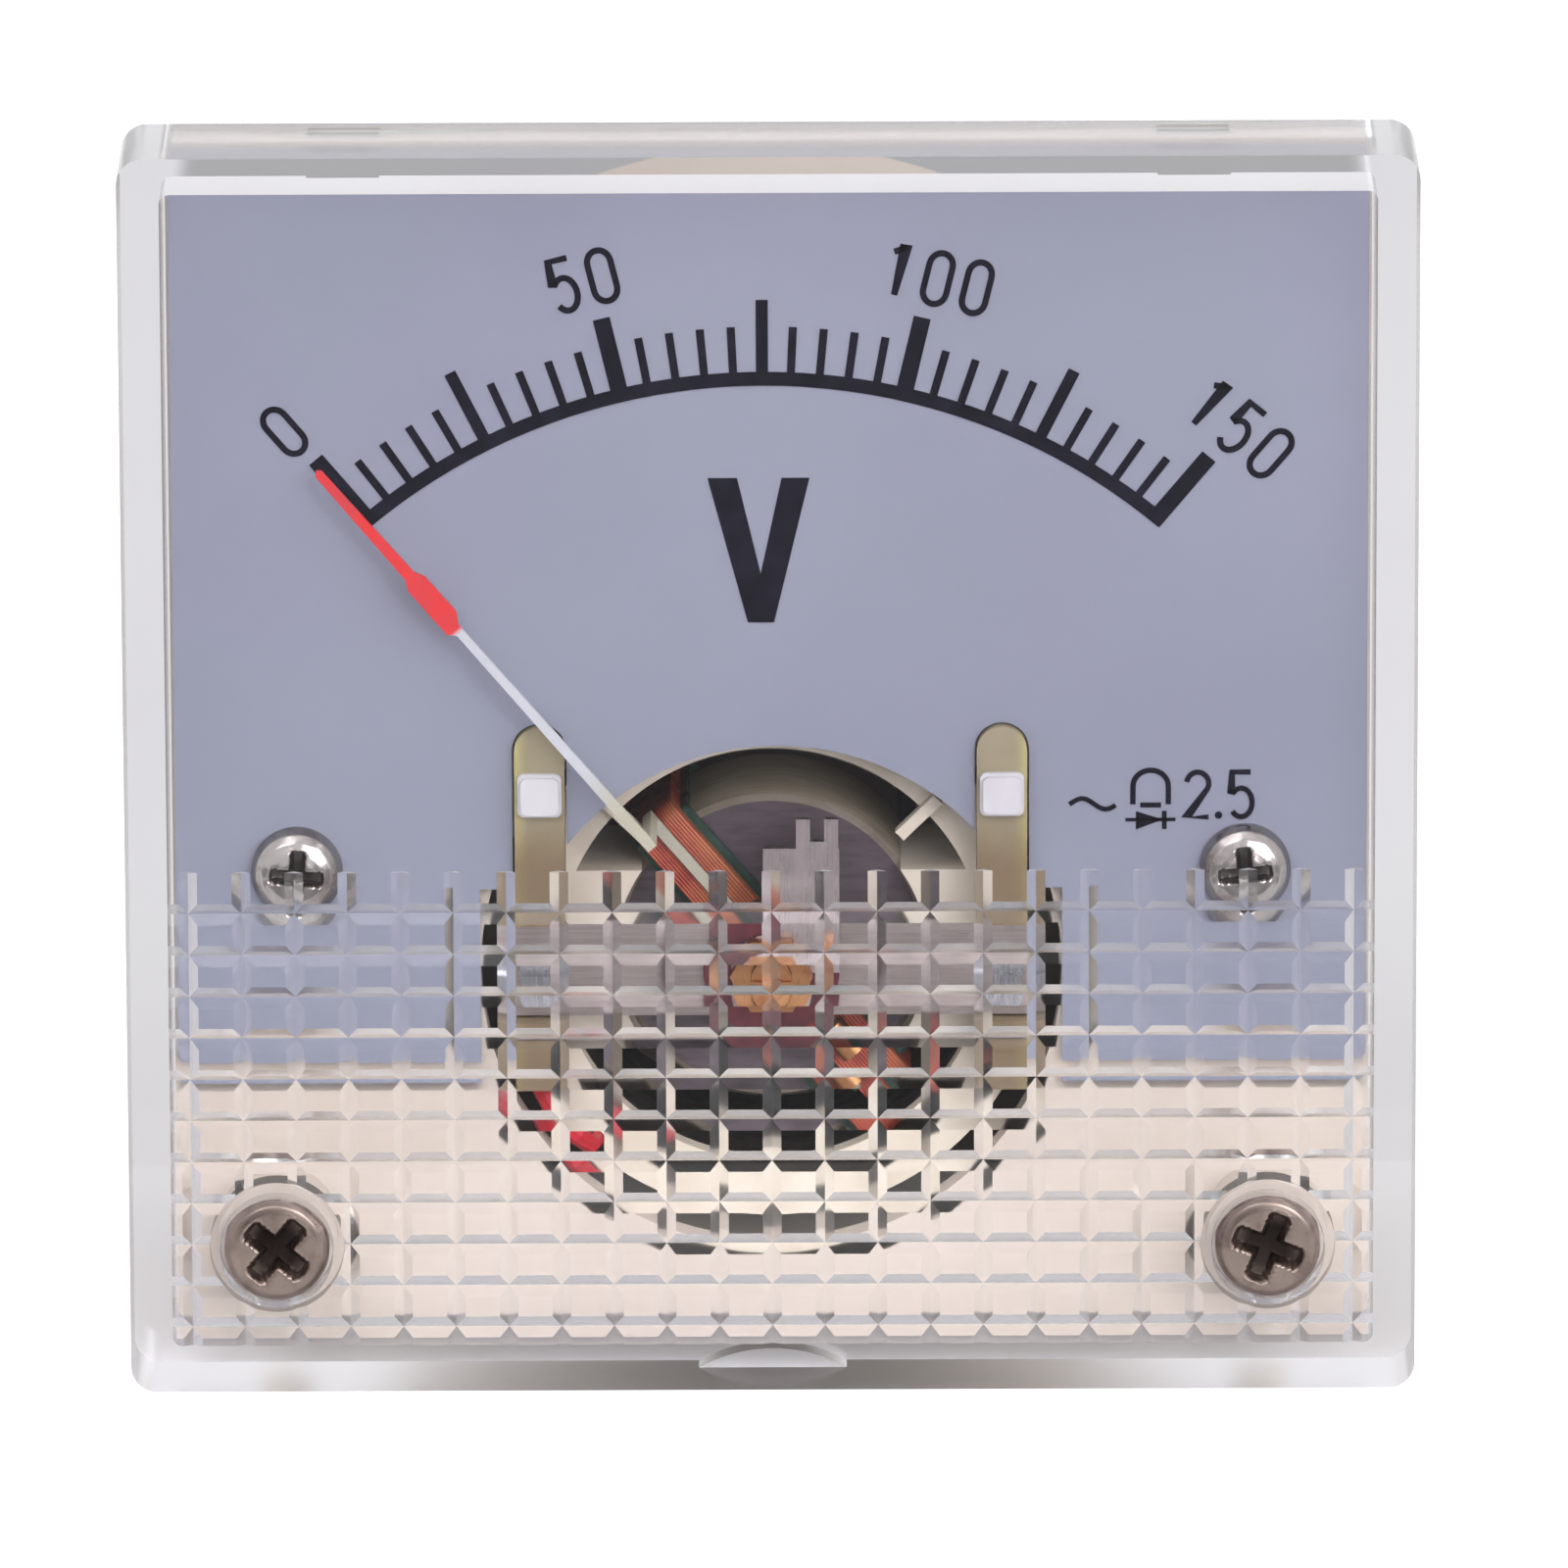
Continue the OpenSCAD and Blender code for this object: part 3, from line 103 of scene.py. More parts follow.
class Wiring:
    """A short way to place and join nodes in one tree."""

    def __init__(self, tree):
        self.tree = tree

    def node(self, kind, **settings):
        made = self.tree.nodes.new(kind)
        for key, value in settings.items():
            setattr(made, key, value)
        return made

    def join(self, source, target):
        self.tree.links.new(source, target)

    def feed(self, socket, value):
        if isinstance(value, bpy.types.NodeSocket):
            self.join(value, socket)
        else:
            socket.default_value = value

    def sum(self, operation, *values):
        made = self.node("ShaderNodeMath", operation=operation)
        for socket, value in zip(made.inputs, values):
            self.feed(socket, value)
        return made.outputs[0]

    def apart(self, vector):
        made = self.node("ShaderNodeSeparateXYZ")
        self.feed(made.inputs[0], vector)
        return made.outputs

    def together(self, x, y, z):
        made = self.node("ShaderNodeCombineXYZ")
        for socket, value in zip(made.inputs, (x, y, z)):
            self.feed(socket, value)
        return made.outputs[0]

    def blend(self, share, first, second):
        made = self.node("ShaderNodeMix", data_type="RGBA")
        self.feed(made.inputs[0], share)
        self.feed(made.inputs[6], first)
        self.feed(made.inputs[7], second)
        return made.outputs[2]

    def noise(self, vector, scale, detail=2.0, rough=0.5):
        made = self.node("ShaderNodeTexNoise")
        self.feed(made.inputs["Vector"], vector)
        self.feed(made.inputs["Scale"], scale)
        self.feed(made.inputs["Detail"], detail)
        self.feed(made.inputs["Roughness"], rough)
        return made.outputs[0]

    def step(self, value, low, high, at_low=0.0, at_high=1.0):
        made = self.node("ShaderNodeMapRange", interpolation_type="SMOOTHSTEP")
        for socket, given in zip(made.inputs, (value, low, high, at_low, at_high)):
            self.feed(socket, given)
        return made.outputs[0]

    def span(self, across, up):
        return self.sum("SQRT", self.sum("ADD", self.sum("MULTIPLY", across, across),
                                         self.sum("MULTIPLY", up, up)))

    def waves(self, value, pitch):
        return self.sum("SINE", self.sum("MULTIPLY", value, 2 * math.pi / pitch))

    def bump(self, height, distance, strength=1.0):
        made = self.node("ShaderNodeBump")
        self.feed(made.inputs["Strength"], strength)
        self.feed(made.inputs["Distance"], distance)
        self.feed(made.inputs["Height"], height)
        return made.outputs[0]


def new_tree(name, kind, takes, gives):
    """A tree of nodes with named inputs and outputs."""
    tree = bpy.data.node_groups.new(name, kind)
    for label, socket, value in takes:
        made = tree.interface.new_socket(name=label, in_out="INPUT", socket_type=socket)
        if value is not None:
            made.default_value = value
    for label, socket in gives:
        tree.interface.new_socket(name=label, in_out="OUTPUT", socket_type=socket)
    wire = Wiring(tree)
    return wire, wire.node("NodeGroupInput").outputs, wire.node("NodeGroupOutput").inputs


def make_moulded_surface():
    """Slow patches of two close shades, with a fine moulded grain."""
    wire, take, give = new_tree(
        "moulded_surface", "ShaderNodeTree",
        [("Place", PLACE, None), ("Patches", NUMBER, 90.0), ("Grain", NUMBER, 3500.0),
         ("Colour", COLOUR, None), ("Shade", COLOUR, None), ("Roughness", NUMBER, 0.4)],
        [("Colour", COLOUR), ("Roughness", NUMBER), ("Height", NUMBER)])
    patches = wire.noise(take["Place"], take["Patches"], 3.0)
    grain = wire.noise(take["Place"], take["Grain"], 2.0)
    share = wire.step(patches, 0.3, 0.72)
    wire.join(wire.blend(share, take["Colour"], take["Shade"]), give["Colour"])
    lean = wire.sum("MULTIPLY", wire.sum("SUBTRACT", patches, 0.5), 0.22)
    wire.join(wire.sum("ADD", take["Roughness"], lean), give["Roughness"])
    wire.join(grain, give["Height"])
    return wire.tree


def make_turned_metal():
    """Fine lathe rings round an axis that runs along Y, mirrored in X."""
    wire, take, give = new_tree(
        "turned_metal", "ShaderNodeTree",
        [("Place", PLACE, None), ("Axis X", NUMBER, 0.0), ("Axis Z", NUMBER, 0.0),
         ("Rings", NUMBER, 9000.0), ("Colour", COLOUR, None), ("Tarnish", COLOUR, None),
         ("Roughness", NUMBER, 0.3)],
        [("Colour", COLOUR), ("Roughness", NUMBER), ("Height", NUMBER), ("Reach", NUMBER)])
    x, y, z = wire.apart(take["Place"])
    across = wire.sum("SUBTRACT", wire.sum("ABSOLUTE", x), take["Axis X"])
    up = wire.sum("SUBTRACT", z, take["Axis Z"])
    reach = wire.span(across, up)
    line = wire.together(wire.sum("MULTIPLY", reach, take["Rings"]),
                         wire.sum("MULTIPLY", y, take["Rings"]), 0.0)
    rings = wire.noise(line, 1.0, 1.0)
    patches = wire.noise(take["Place"], 700.0, 4.0, 0.6)
    wire.join(wire.blend(wire.step(patches, 0.42, 0.75), take["Colour"], take["Tarnish"]),
              give["Colour"])
    lean = wire.sum("MULTIPLY", wire.sum("SUBTRACT", wire.sum("ADD", rings, patches), 1.0), 0.3)
    wire.join(wire.sum("ADD", take["Roughness"], lean), give["Roughness"])
    wire.join(rings, give["Height"])
    wire.join(reach, give["Reach"])
    return wire.tree


def make_brushed_metal():
    """Straight brushing: noise drawn out along one direction."""
    wire, take, give = new_tree(
        "brushed_metal", "ShaderNodeTree",
        [("Place", PLACE, None), ("Stretch", PLACE, None), ("Colour", COLOUR, None),
         ("Tarnish", COLOUR, None), ("Roughness", NUMBER, 0.35)],
        [("Colour", COLOUR), ("Roughness", NUMBER), ("Height", NUMBER)])
    drawn = wire.node("ShaderNodeVectorMath", operation="MULTIPLY")
    wire.join(take["Place"], drawn.inputs[0])
    wire.join(take["Stretch"], drawn.inputs[1])
    streaks = wire.noise(drawn.outputs[0], 1.0, 3.0, 0.6)
    patches = wire.noise(take["Place"], 320.0, 3.0)
    share = wire.step(wire.sum("ADD", wire.sum("MULTIPLY", streaks, 0.6),
                               wire.sum("MULTIPLY", patches, 0.4)), 0.38, 0.68)
    wire.join(wire.blend(share, take["Colour"], take["Tarnish"]), give["Colour"])
    lean = wire.sum("MULTIPLY", wire.sum("SUBTRACT", streaks, 0.5), 0.35)
    wire.join(wire.sum("ADD", take["Roughness"], lean), give["Roughness"])
    wire.join(streaks, give["Height"])
    return wire.tree


MOULDED = make_moulded_surface()
TURNED = make_turned_metal()
BRUSHED = make_brushed_metal()


def new_finish(name, **constants):
    """A material with one Principled shader, and its wiring."""
    finish = bpy.data.materials.new(name)
    finish.use_nodes = True
    finish.node_tree.nodes.clear()
    wire = Wiring(finish.node_tree)
    result = wire.node("ShaderNodeOutputMaterial")
    shader = wire.node("ShaderNodeBsdfPrincipled")
    wire.join(shader.outputs[0], result.inputs[0])
    for label, value in constants.items():
        shader.inputs[label.replace("_", " ")].default_value = value
    place = wire.node("ShaderNodeTexCoord").outputs["Object"]
    return finish, wire, shader, place


def end_with(wire, shading):
    """Another shader's output in place of the plain one."""
    result = next(n for n in wire.tree.nodes if n.type == "OUTPUT_MATERIAL")
    wire.join(shading, result.inputs[0])


def lay(wire, shader, colour, roughness, height, depth, strength):
    """The last joins of a finish: its colour, roughness and relief."""
    wire.join(colour, shader.inputs["Base Color"])
    wire.join(roughness, shader.inputs["Roughness"])
    wire.join(wire.bump(height, depth, strength), shader.inputs["Normal"])


def facing_depth(wire):
    """How far a surface faces along Y, from -1 at the front to 1 at the back."""
    return wire.apart(wire.node("ShaderNodeTexCoord").outputs["Normal"])[1]


def use_group(wire, tree, place, **values):
    """One effect in a finish, with its own values."""
    made = wire.node("ShaderNodeGroup", node_tree=tree)
    wire.join(place, made.inputs["Place"])
    for label, value in values.items():
        wire.feed(made.inputs[label.replace("_", " ")], value)
    return made.outputs


def moulded_finish(name, colour, shade, roughness, patches=90.0, grain=3500.0,
                   depth=0.01 * MM, **constants):
    """A moulded plastic, enamel or fibre."""
    finish, wire, shader, place = new_finish(name, **constants)
    out = use_group(wire, MOULDED, place, Colour=colour, Shade=shade, Roughness=roughness,
                    Patches=patches, Grain=grain)
    lay(wire, shader, out["Colour"], out["Roughness"], out["Height"], depth, 0.5)
    return finish


def turned_finish(name, colour, tarnish, roughness, axis_x=0.0, axis_z=PIVOT_Z,
                  rings=9000.0, depth=0.006 * MM):
    """A lathe-turned metal."""
    finish, wire, shader, place = new_finish(name, Metallic=1.0)
    out = use_group(wire, TURNED, place, Colour=colour, Tarnish=tarnish, Roughness=roughness,
                    Axis_X=axis_x, Axis_Z=axis_z, Rings=rings)
    lay(wire, shader, out["Colour"], out["Roughness"], out["Height"], depth, 0.6)
    return finish


def brushed_finish(name, colour, tarnish, roughness, stretch, depth=0.006 * MM, metal=1.0):
    """A brushed metal, or a lacquer over one."""
    finish, wire, shader, place = new_finish(name, Metallic=metal)
    out = use_group(wire, BRUSHED, place, Colour=colour, Tarnish=tarnish, Roughness=roughness,
                    Stretch=stretch)
    lay(wire, shader, out["Colour"], out["Roughness"], out["Height"], depth, 0.6)
    return finish


# ---- finishes of the meter's own pieces -------------------------------------------

def clear_moulding():
    """The clear cover: polished panes, softer ribs and matt edges, open to lamplight."""
    finish, wire, shader, place = new_finish(
        "clear_moulding", Base_Color=tone(240, 239, 242), IOR=1.49, Metallic=0.0,
        Transmission_Weight=1.0)
    out = use_group(wire, MOULDED, place, Colour=tone(240, 239, 242), Shade=tone(236, 234, 239),
                    Roughness=0.035, Patches=60.0, Grain=45.0)
    polish = wire.sum("MULTIPLY", out["Roughness"], 0.6)
    facing = facing_depth(wire)
    level = wire.sum("ABSOLUTE", facing)
    y = wire.apart(place)[1]
    rear_edge = wire.sum("MULTIPLY", wire.step(facing, 0.8, 0.95),
                         wire.step(y, -0.4 * MM, -0.2 * MM))
    outside = wire.step(level, 0.05, 0.2, 1.0, 0.0)
    rib_slope = wire.sum("MULTIPLY", wire.step(level, 0.6, 0.7),
                         wire.step(level, 0.93, 0.98, 1.0, 0.0))
    rough = wire.sum("ADD", polish, wire.sum("MULTIPLY", rib_slope, RIB_ROUGHNESS))
    rough = wire.sum("ADD", rough, wire.sum("MULTIPLY", outside, WALL_ROUGHNESS))
    rough = wire.sum("ADD", rough, wire.sum("MULTIPLY", rear_edge, EDGE_ROUGHNESS))
    lay(wire, shader, out["Colour"], rough, out["Height"], 0.05 * MM, 0.12)
    through = wire.node("ShaderNodeBsdfTransparent")
    through.inputs[0].default_value = CLEAR_TINT
    # Shadows pass straight through, and so does light that has gone round inside the wall.
    rays = wire.node("ShaderNodeLightPath")
    trapped = wire.sum("GREATER_THAN", rays.outputs["Ray Depth"], SURFACES_MET)
    mix = wire.node("ShaderNodeMixShader")
    wire.join(wire.sum("MAXIMUM", rays.outputs["Is Shadow Ray"], trapped), mix.inputs[0])
    wire.join(shader.outputs[0], mix.inputs[1])
    wire.join(through.outputs[0], mix.inputs[2])
    end_with(wire, mix.outputs[0])
    return finish


def screw_head_finish(name, colour, tarnish, roughness, axis_x, axis_z, head_front, recess_r):
    """Plated screws, with painted shade darkening the bottom of their driver recess."""
    finish, wire, shader, place = new_finish(name, Metallic=1.0)
    out = use_group(wire, TURNED, place, Colour=colour, Tarnish=tarnish, Roughness=roughness,
                    Axis_X=axis_x, Axis_Z=axis_z, Rings=5000.0)
    y = wire.apart(place)[1]
    sunk = wire.step(y, head_front + 0.25 * MM, head_front + 0.8 * MM)
    inside = wire.step(out["Reach"], recess_r * 0.98, recess_r * 1.08, 1.0, 0.0)
    # Painted shade: deep in the cross recess the colour goes nearly black.
    painted_recess_shade = wire.sum("MULTIPLY", wire.sum("MULTIPLY", sunk, inside), 0.92)
    lay(wire, shader, wire.blend(painted_recess_shade, out["Colour"], tone(26, 20, 20)),
        wire.sum("ADD", out["Roughness"], wire.sum("MULTIPLY", painted_recess_shade, 0.3)),
        out["Height"], 0.012 * MM, 0.7)
    return finish


def dial_paint():
    """Grey-blue satin paint on the front of an aluminium plate, with painted shade darkening it
    towards the bottom.
    """
    finish, wire, shader, place = new_finish("dial_paint", Specular_IOR_Level=0.35)
    bare = wire.step(facing_depth(wire), -0.9, -0.5)
    out = use_group(wire, MOULDED, place, Colour=tone(147, 149, 165), Shade=tone(141, 144, 159),
                    Roughness=0.5, Patches=45.0, Grain=5200.0)
    x, _, height = wire.apart(place)
    # Painted shade: the paint darkens towards the bottom of the dial.
    low = wire.step(height, -12 * MM, 30 * MM, 1.0, 0.0)
    paint = wire.blend(wire.sum("MULTIPLY", low, 0.45), out["Colour"], tone(134, 139, 153))
    streaks = wire.noise(wire.together(wire.sum("MULTIPLY", x, 60.0), 0.0,
                                       wire.sum("MULTIPLY", height, 3000.0)), 1.0, 2.0)
    metal = wire.blend(streaks, tone(200, 200, 204), tone(176, 177, 182))
    wire.join(bare, shader.inputs["Metallic"])
    lay(wire, shader, wire.blend(bare, paint, metal),
        wire.sum("SUBTRACT", out["Roughness"], wire.sum("MULTIPLY", bare, 0.15)),
        out["Height"], 0.004 * MM, 0.4)
    return finish


def post_nylon():
    """Olive-cream nylon, greener towards the outer edge, with painted shade darkening it low down.
    """
    finish, wire, shader, place = new_finish("post_nylon", Subsurface_Weight=0.08)
    shader.inputs["Subsurface Radius"].default_value = (0.8 * MM, 0.7 * MM, 0.4 * MM)
    out = use_group(wire, MOULDED, place, Colour=tone(158, 148, 122), Shade=tone(147, 136, 108),
                    Roughness=0.42, Patches=500.0, Grain=5000.0)
    x, _, z = wire.apart(place)
    outer = wire.step(wire.sum("ABSOLUTE", x), 12.0 * MM, 12.8 * MM)
    tint = wire.blend(wire.sum("MULTIPLY", outer, 0.6), out["Colour"], tone(196, 188, 126))
    # Painted shade: low down the posts turn dark brown.
    low = wire.step(z, -3.5 * MM, 0.5 * MM, 1.0, 0.0)
    lay(wire, shader, wire.blend(wire.sum("MULTIPLY", low, 0.7), tint, tone(104, 80, 54)),
        out["Roughness"], out["Height"], 0.01 * MM, 0.4)
    return finish


def wound_copper():
    """Varnished turns of fine red wire, side by side across the coil, with painted shade in the
    grooves between them.
    """
    finish, wire, shader, place = new_finish("wound_copper", Metallic=0.35, Coat_Weight=0.5,
                                             Coat_Roughness=0.2)
    x, _, z = wire.apart(place)
    side = wire.sum("ADD", wire.sum("MULTIPLY", x, math.cos(REST_TURN)),
                    wire.sum("MULTIPLY", wire.sum("SUBTRACT", z, PIVOT_Z), math.sin(REST_TURN)))
    turns = wire.waves(side, 0.16 * MM)
    ridge = wire.sum("ADD", wire.sum("MULTIPLY", turns, 0.5), 0.5)
    patches = wire.noise(place, 900.0, 4.0, 0.65)
    body = wire.blend(wire.step(patches, 0.35, 0.7), tone(205, 92, 62), tone(160, 52, 44))
    varnish = wire.blend(wire.step(wire.noise(place, 260.0, 2.0), 0.5, 0.75), body,
                         tone(214, 128, 84))
    # Painted shade: the colour darkens to deep red in the grooves between turns.
    painted_groove_shade = wire.sum("MULTIPLY", wire.sum("SUBTRACT", 1.0, ridge), 0.55)
    lay(wire, shader, wire.blend(painted_groove_shade, varnish, tone(92, 26, 24)),
        wire.sum("ADD", 0.3, wire.sum("MULTIPLY", patches, 0.25)), ridge, 0.05 * MM, 0.8)
    return finish


def pointer_finish():
    """A red blade at the tip, on a pale arm with a whitish root."""
    finish, wire, shader, place = new_finish("pointer_blade", Specular_IOR_Level=0.4)
    x, _, z = wire.apart(place)
    up = wire.sum("SUBTRACT", z, PIVOT_Z)
    reach = wire.span(x, up)
    red = wire.step(reach, 23.6 * MM, 23.95 * MM)
    out = use_group(wire, MOULDED, place, Colour=tone(226, 52, 50), Shade=tone(206, 60, 66),
                    Roughness=0.42, Patches=400.0, Grain=6000.0)
    pale = wire.blend(wire.step(reach, 11 * MM, 15 * MM), tone(186, 182, 162),
                      tone(196, 198, 204))
    lay(wire, shader, wire.blend(red, pale, out["Colour"]), out["Roughness"], out["Height"],
        0.004 * MM, 0.3)
    return finish


def ground_drum():
    """The core: a dull dark face, with its side paler and olive, partly from grinding and partly
    painted light that makes up for the shade it sits in.
    """
    finish, wire, shader, place = new_finish("ground_drum")
    face = wire.step(wire.sum("ABSOLUTE", facing_depth(wire)), 0.4, 0.9)
    flat = use_group(wire, BRUSHED, place, Colour=tone(104, 92, 98), Tarnish=tone(78, 68, 72),
                     Roughness=0.45, Stretch=(500.0, 500.0, 2600.0))
    # Painted light: the side's near-white colour stands in for light that the dial plate keeps off
    # it.
    side = use_group(wire, BRUSHED, place, Colour=tone(246, 232, 202), Tarnish=tone(214, 198, 164),
                     Roughness=0.4, Stretch=(300.0, 5200.0, 300.0))
    wire.join(wire.sum("MULTIPLY", face, 0.35), shader.inputs["Metallic"])
    lay(wire, shader, wire.blend(face, side["Colour"], flat["Colour"]), flat["Roughness"],
        side["Height"], 0.008 * MM, 0.5)
    return finish


def board_laminate():
    """Glass-fibre laminate: a fine weave under green-brown resin."""
    finish, wire, shader, place = new_finish("board_laminate", Coat_Weight=0.3)
    x, _, z = wire.apart(place)
    weave = wire.sum("MULTIPLY", wire.waves(x, 0.5 * MM), wire.waves(z, 0.5 * MM))
    out = use_group(wire, MOULDED, place, Colour=tone(126, 132, 78), Shade=tone(112, 118, 66),
                    Roughness=0.38, Patches=200.0, Grain=4000.0)
    threads = wire.step(weave, -1.0, 1.0, 0.0, 0.35)
    lay(wire, shader, wire.blend(threads, out["Colour"], tone(156, 158, 104)),
        out["Roughness"], weave, 0.02 * MM, 0.3)
    return finish


def leaded_body(name, body_half, centre_x, colour, shade, bands):
    """A moulded body with tinned wire leads; bands are (from, to, colour) along X."""
    finish, wire, shader, place = new_finish(name)
    x = wire.apart(place)[0]
    along = wire.sum("ABSOLUTE", wire.sum("SUBTRACT", x, centre_x))
    lead = wire.step(along, body_half, body_half + 0.05 * MM)
    out = use_group(wire, MOULDED, place, Colour=colour, Shade=shade, Roughness=0.3,
                    Patches=500.0, Grain=6000.0)
    body = out["Colour"]
    for start, end, band in bands:
        rise = wire.step(x, start - 0.03 * MM, start + 0.03 * MM)
        fall = wire.step(x, end - 0.03 * MM, end + 0.03 * MM, 1.0, 0.0)
        body = wire.blend(wire.sum("MULTIPLY", rise, fall), body, band)
    wire.join(lead, shader.inputs["Metallic"])
    lay(wire, shader, wire.blend(lead, body, tone(190, 188, 182)), out["Roughness"],
        out["Height"], 0.01 * MM, 0.3)
    return finish


def dial_ink():
    """Screen-printed ink, a little thin in places."""
    return moulded_finish("dial_ink", tone(16, 15, 26), tone(28, 27, 40), 0.6, 900.0, 5000.0,
                          0.003 * MM, Specular_IOR_Level=0.05)


# ---- shapes made in mesh code --------------------------------------------------------

def as_piece(name, shape, finish, body):
    """A finished mesh piece that rides on one body."""
    bmesh.ops.remove_doubles(shape, verts=shape.verts, dist=WELD)
    bmesh.ops.recalc_face_normals(shape, faces=shape.faces)
    mesh = bpy.data.meshes.new(name)
    shape.to_mesh(mesh)
    shape.free()
    mesh.materials.append(finish)
    piece = bpy.data.objects.new(name, mesh)
    bpy.context.scene.collection.objects.link(piece)
    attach(piece, body)
    return piece


def printed_outline(shape, outline, front, back):
    """A thin layer of ink: a closed outline of (x, z) with its depth in Y."""
    fore = [shape.verts.new((x, front, z)) for x, z in outline]
    aft = [shape.verts.new((x, back, z)) for x, z in outline]
    faces = [shape.faces.new(fore), shape.faces.new(list(reversed(aft)))]
    for k in range(len(outline)):
        j = (k + 1) % len(outline)
        faces.append(shape.faces.new((fore[k], aft[k], aft[j], fore[j])))
    bmesh.ops.triangulate(shape, faces=faces[:2])


def stroke_outline(path, width):
    """The two sides of an open pen stroke along a path of (u, v)."""
    left, right = [], []
    count = len(path)
    for k, (u, v) in enumerate(path):
        a = path[max(k - 1, 0)]
        b = path[min(k + 1, count - 1)]
        du, dv = b[0] - a[0], b[1] - a[1]
        size = math.hypot(du, dv) or 1.0
        stretch = 1.0
        if 0 < k < count - 1:
            p = Vector((u - a[0], v - a[1])).normalized()
            q = Vector((b[0] - u, b[1] - v)).normalized()
            stretch = min(1.0 / max(math.cos(p.angle(q, 0.0) / 2), 0.3), 2.0)
        nu, nv = -dv / size * width / 2 * stretch, du / size * width / 2 * stretch
        left.append((u + nu, v + nv))
        right.append((u - nu, v - nv))
    return left, right


def pen_stroke(shape, path, width, place, front, back, closed=False):
    """Ink along a path; place turns (u, v) into (x, z)."""
    if closed:
        padded = [path[-1]] + list(path) + [path[0]]
        left, right = stroke_outline(padded, width)
        left, right = left[1:-1], right[1:-1]
    else:
        left, right = stroke_outline(path, width)
    count = len(left)
    rails = []
    for rail in (left, right):
        spots = [place(u, v) for u, v in rail]
        rails.append(([shape.verts.new((x, front, z)) for x, z in spots],
                      [shape.verts.new((x, back, z)) for x, z in spots]))
    (lf, lb), (rf, rb) = rails
    last = count if closed else count - 1
    for k in range(last):
        j = (k + 1) % count
        shape.faces.new((lf[k], rf[k], rf[j], lf[j]))
        shape.faces.new((lb[k], lb[j], rb[j], rb[k]))
        shape.faces.new((lf[k], lf[j], lb[j], lb[k]))
        shape.faces.new((rf[k], rb[k], rb[j], rf[j]))
    if not closed:
        shape.faces.new((lf[0], lb[0], rb[0], rf[0]))
        shape.faces.new((lf[-1], rf[-1], rb[-1], lb[-1]))


def bow(centre_u, centre_v, half_w, half_h, start, end, steps=14):
    """Points on an ellipse from one angle to another, in degrees."""
    points = []
    for k in range(steps + 1):
        g = math.radians(start + (end - start) * k / steps)
        points.append((centre_u + half_w * math.cos(g), centre_v + half_h * math.sin(g)))
    return points


def figure_strokes(figure, w, h):
    """Centre lines of a plain narrow figure, w by h, about its own centre."""
    a, b = w / 2, h / 2
    if figure == "0":
        top = bow(0, b - a * 1.1, a, a * 1.1, 0, 180)
        return [(top + bow(0, -b + a * 1.1, a, a * 1.1, 180, 360), True)]
    if figure == "1":
        return [([(-a * 0.75, b * 0.62), (-a * 0.2, b * 0.78), (a * 0.12, b), (a * 0.12, -b)],
                 False)]
    if figure == "2":
        head = bow(0, b - a * 1.05, a, a * 1.05, 172, -28, 16)
        return [(head + [(-a, -b), (a, -b)], False)]
    bowl = bow(0, -b + h * 0.32, a, h * 0.32, 138, -142, 20)
    return [([(a * 0.86, b), (-a * 0.8, b), (-a * 0.9, h * 0.03)] + bowl, False)]


def write_figures(shape, figures, centre, turn, w, h, pitch, pen, front, back):
    """Figures side by side, their middle at centre, turned clockwise by turn."""
    c, s = math.cos(turn), math.sin(turn)
    for k, figure in enumerate(figures):
        shift = (k - (len(figures) - 1) / 2) * pitch

        def place(u, v, shift=shift):
            u = u + shift
            return centre[0] + u * c + v * s, centre[1] - u * s + v * c

        for path, closed in figure_strokes(figure, w, h):
            pen_stroke(shape, path, pen, place, front, back, closed)


# ---- turned screws and studs, grown by geometry nodes -------------------------------------

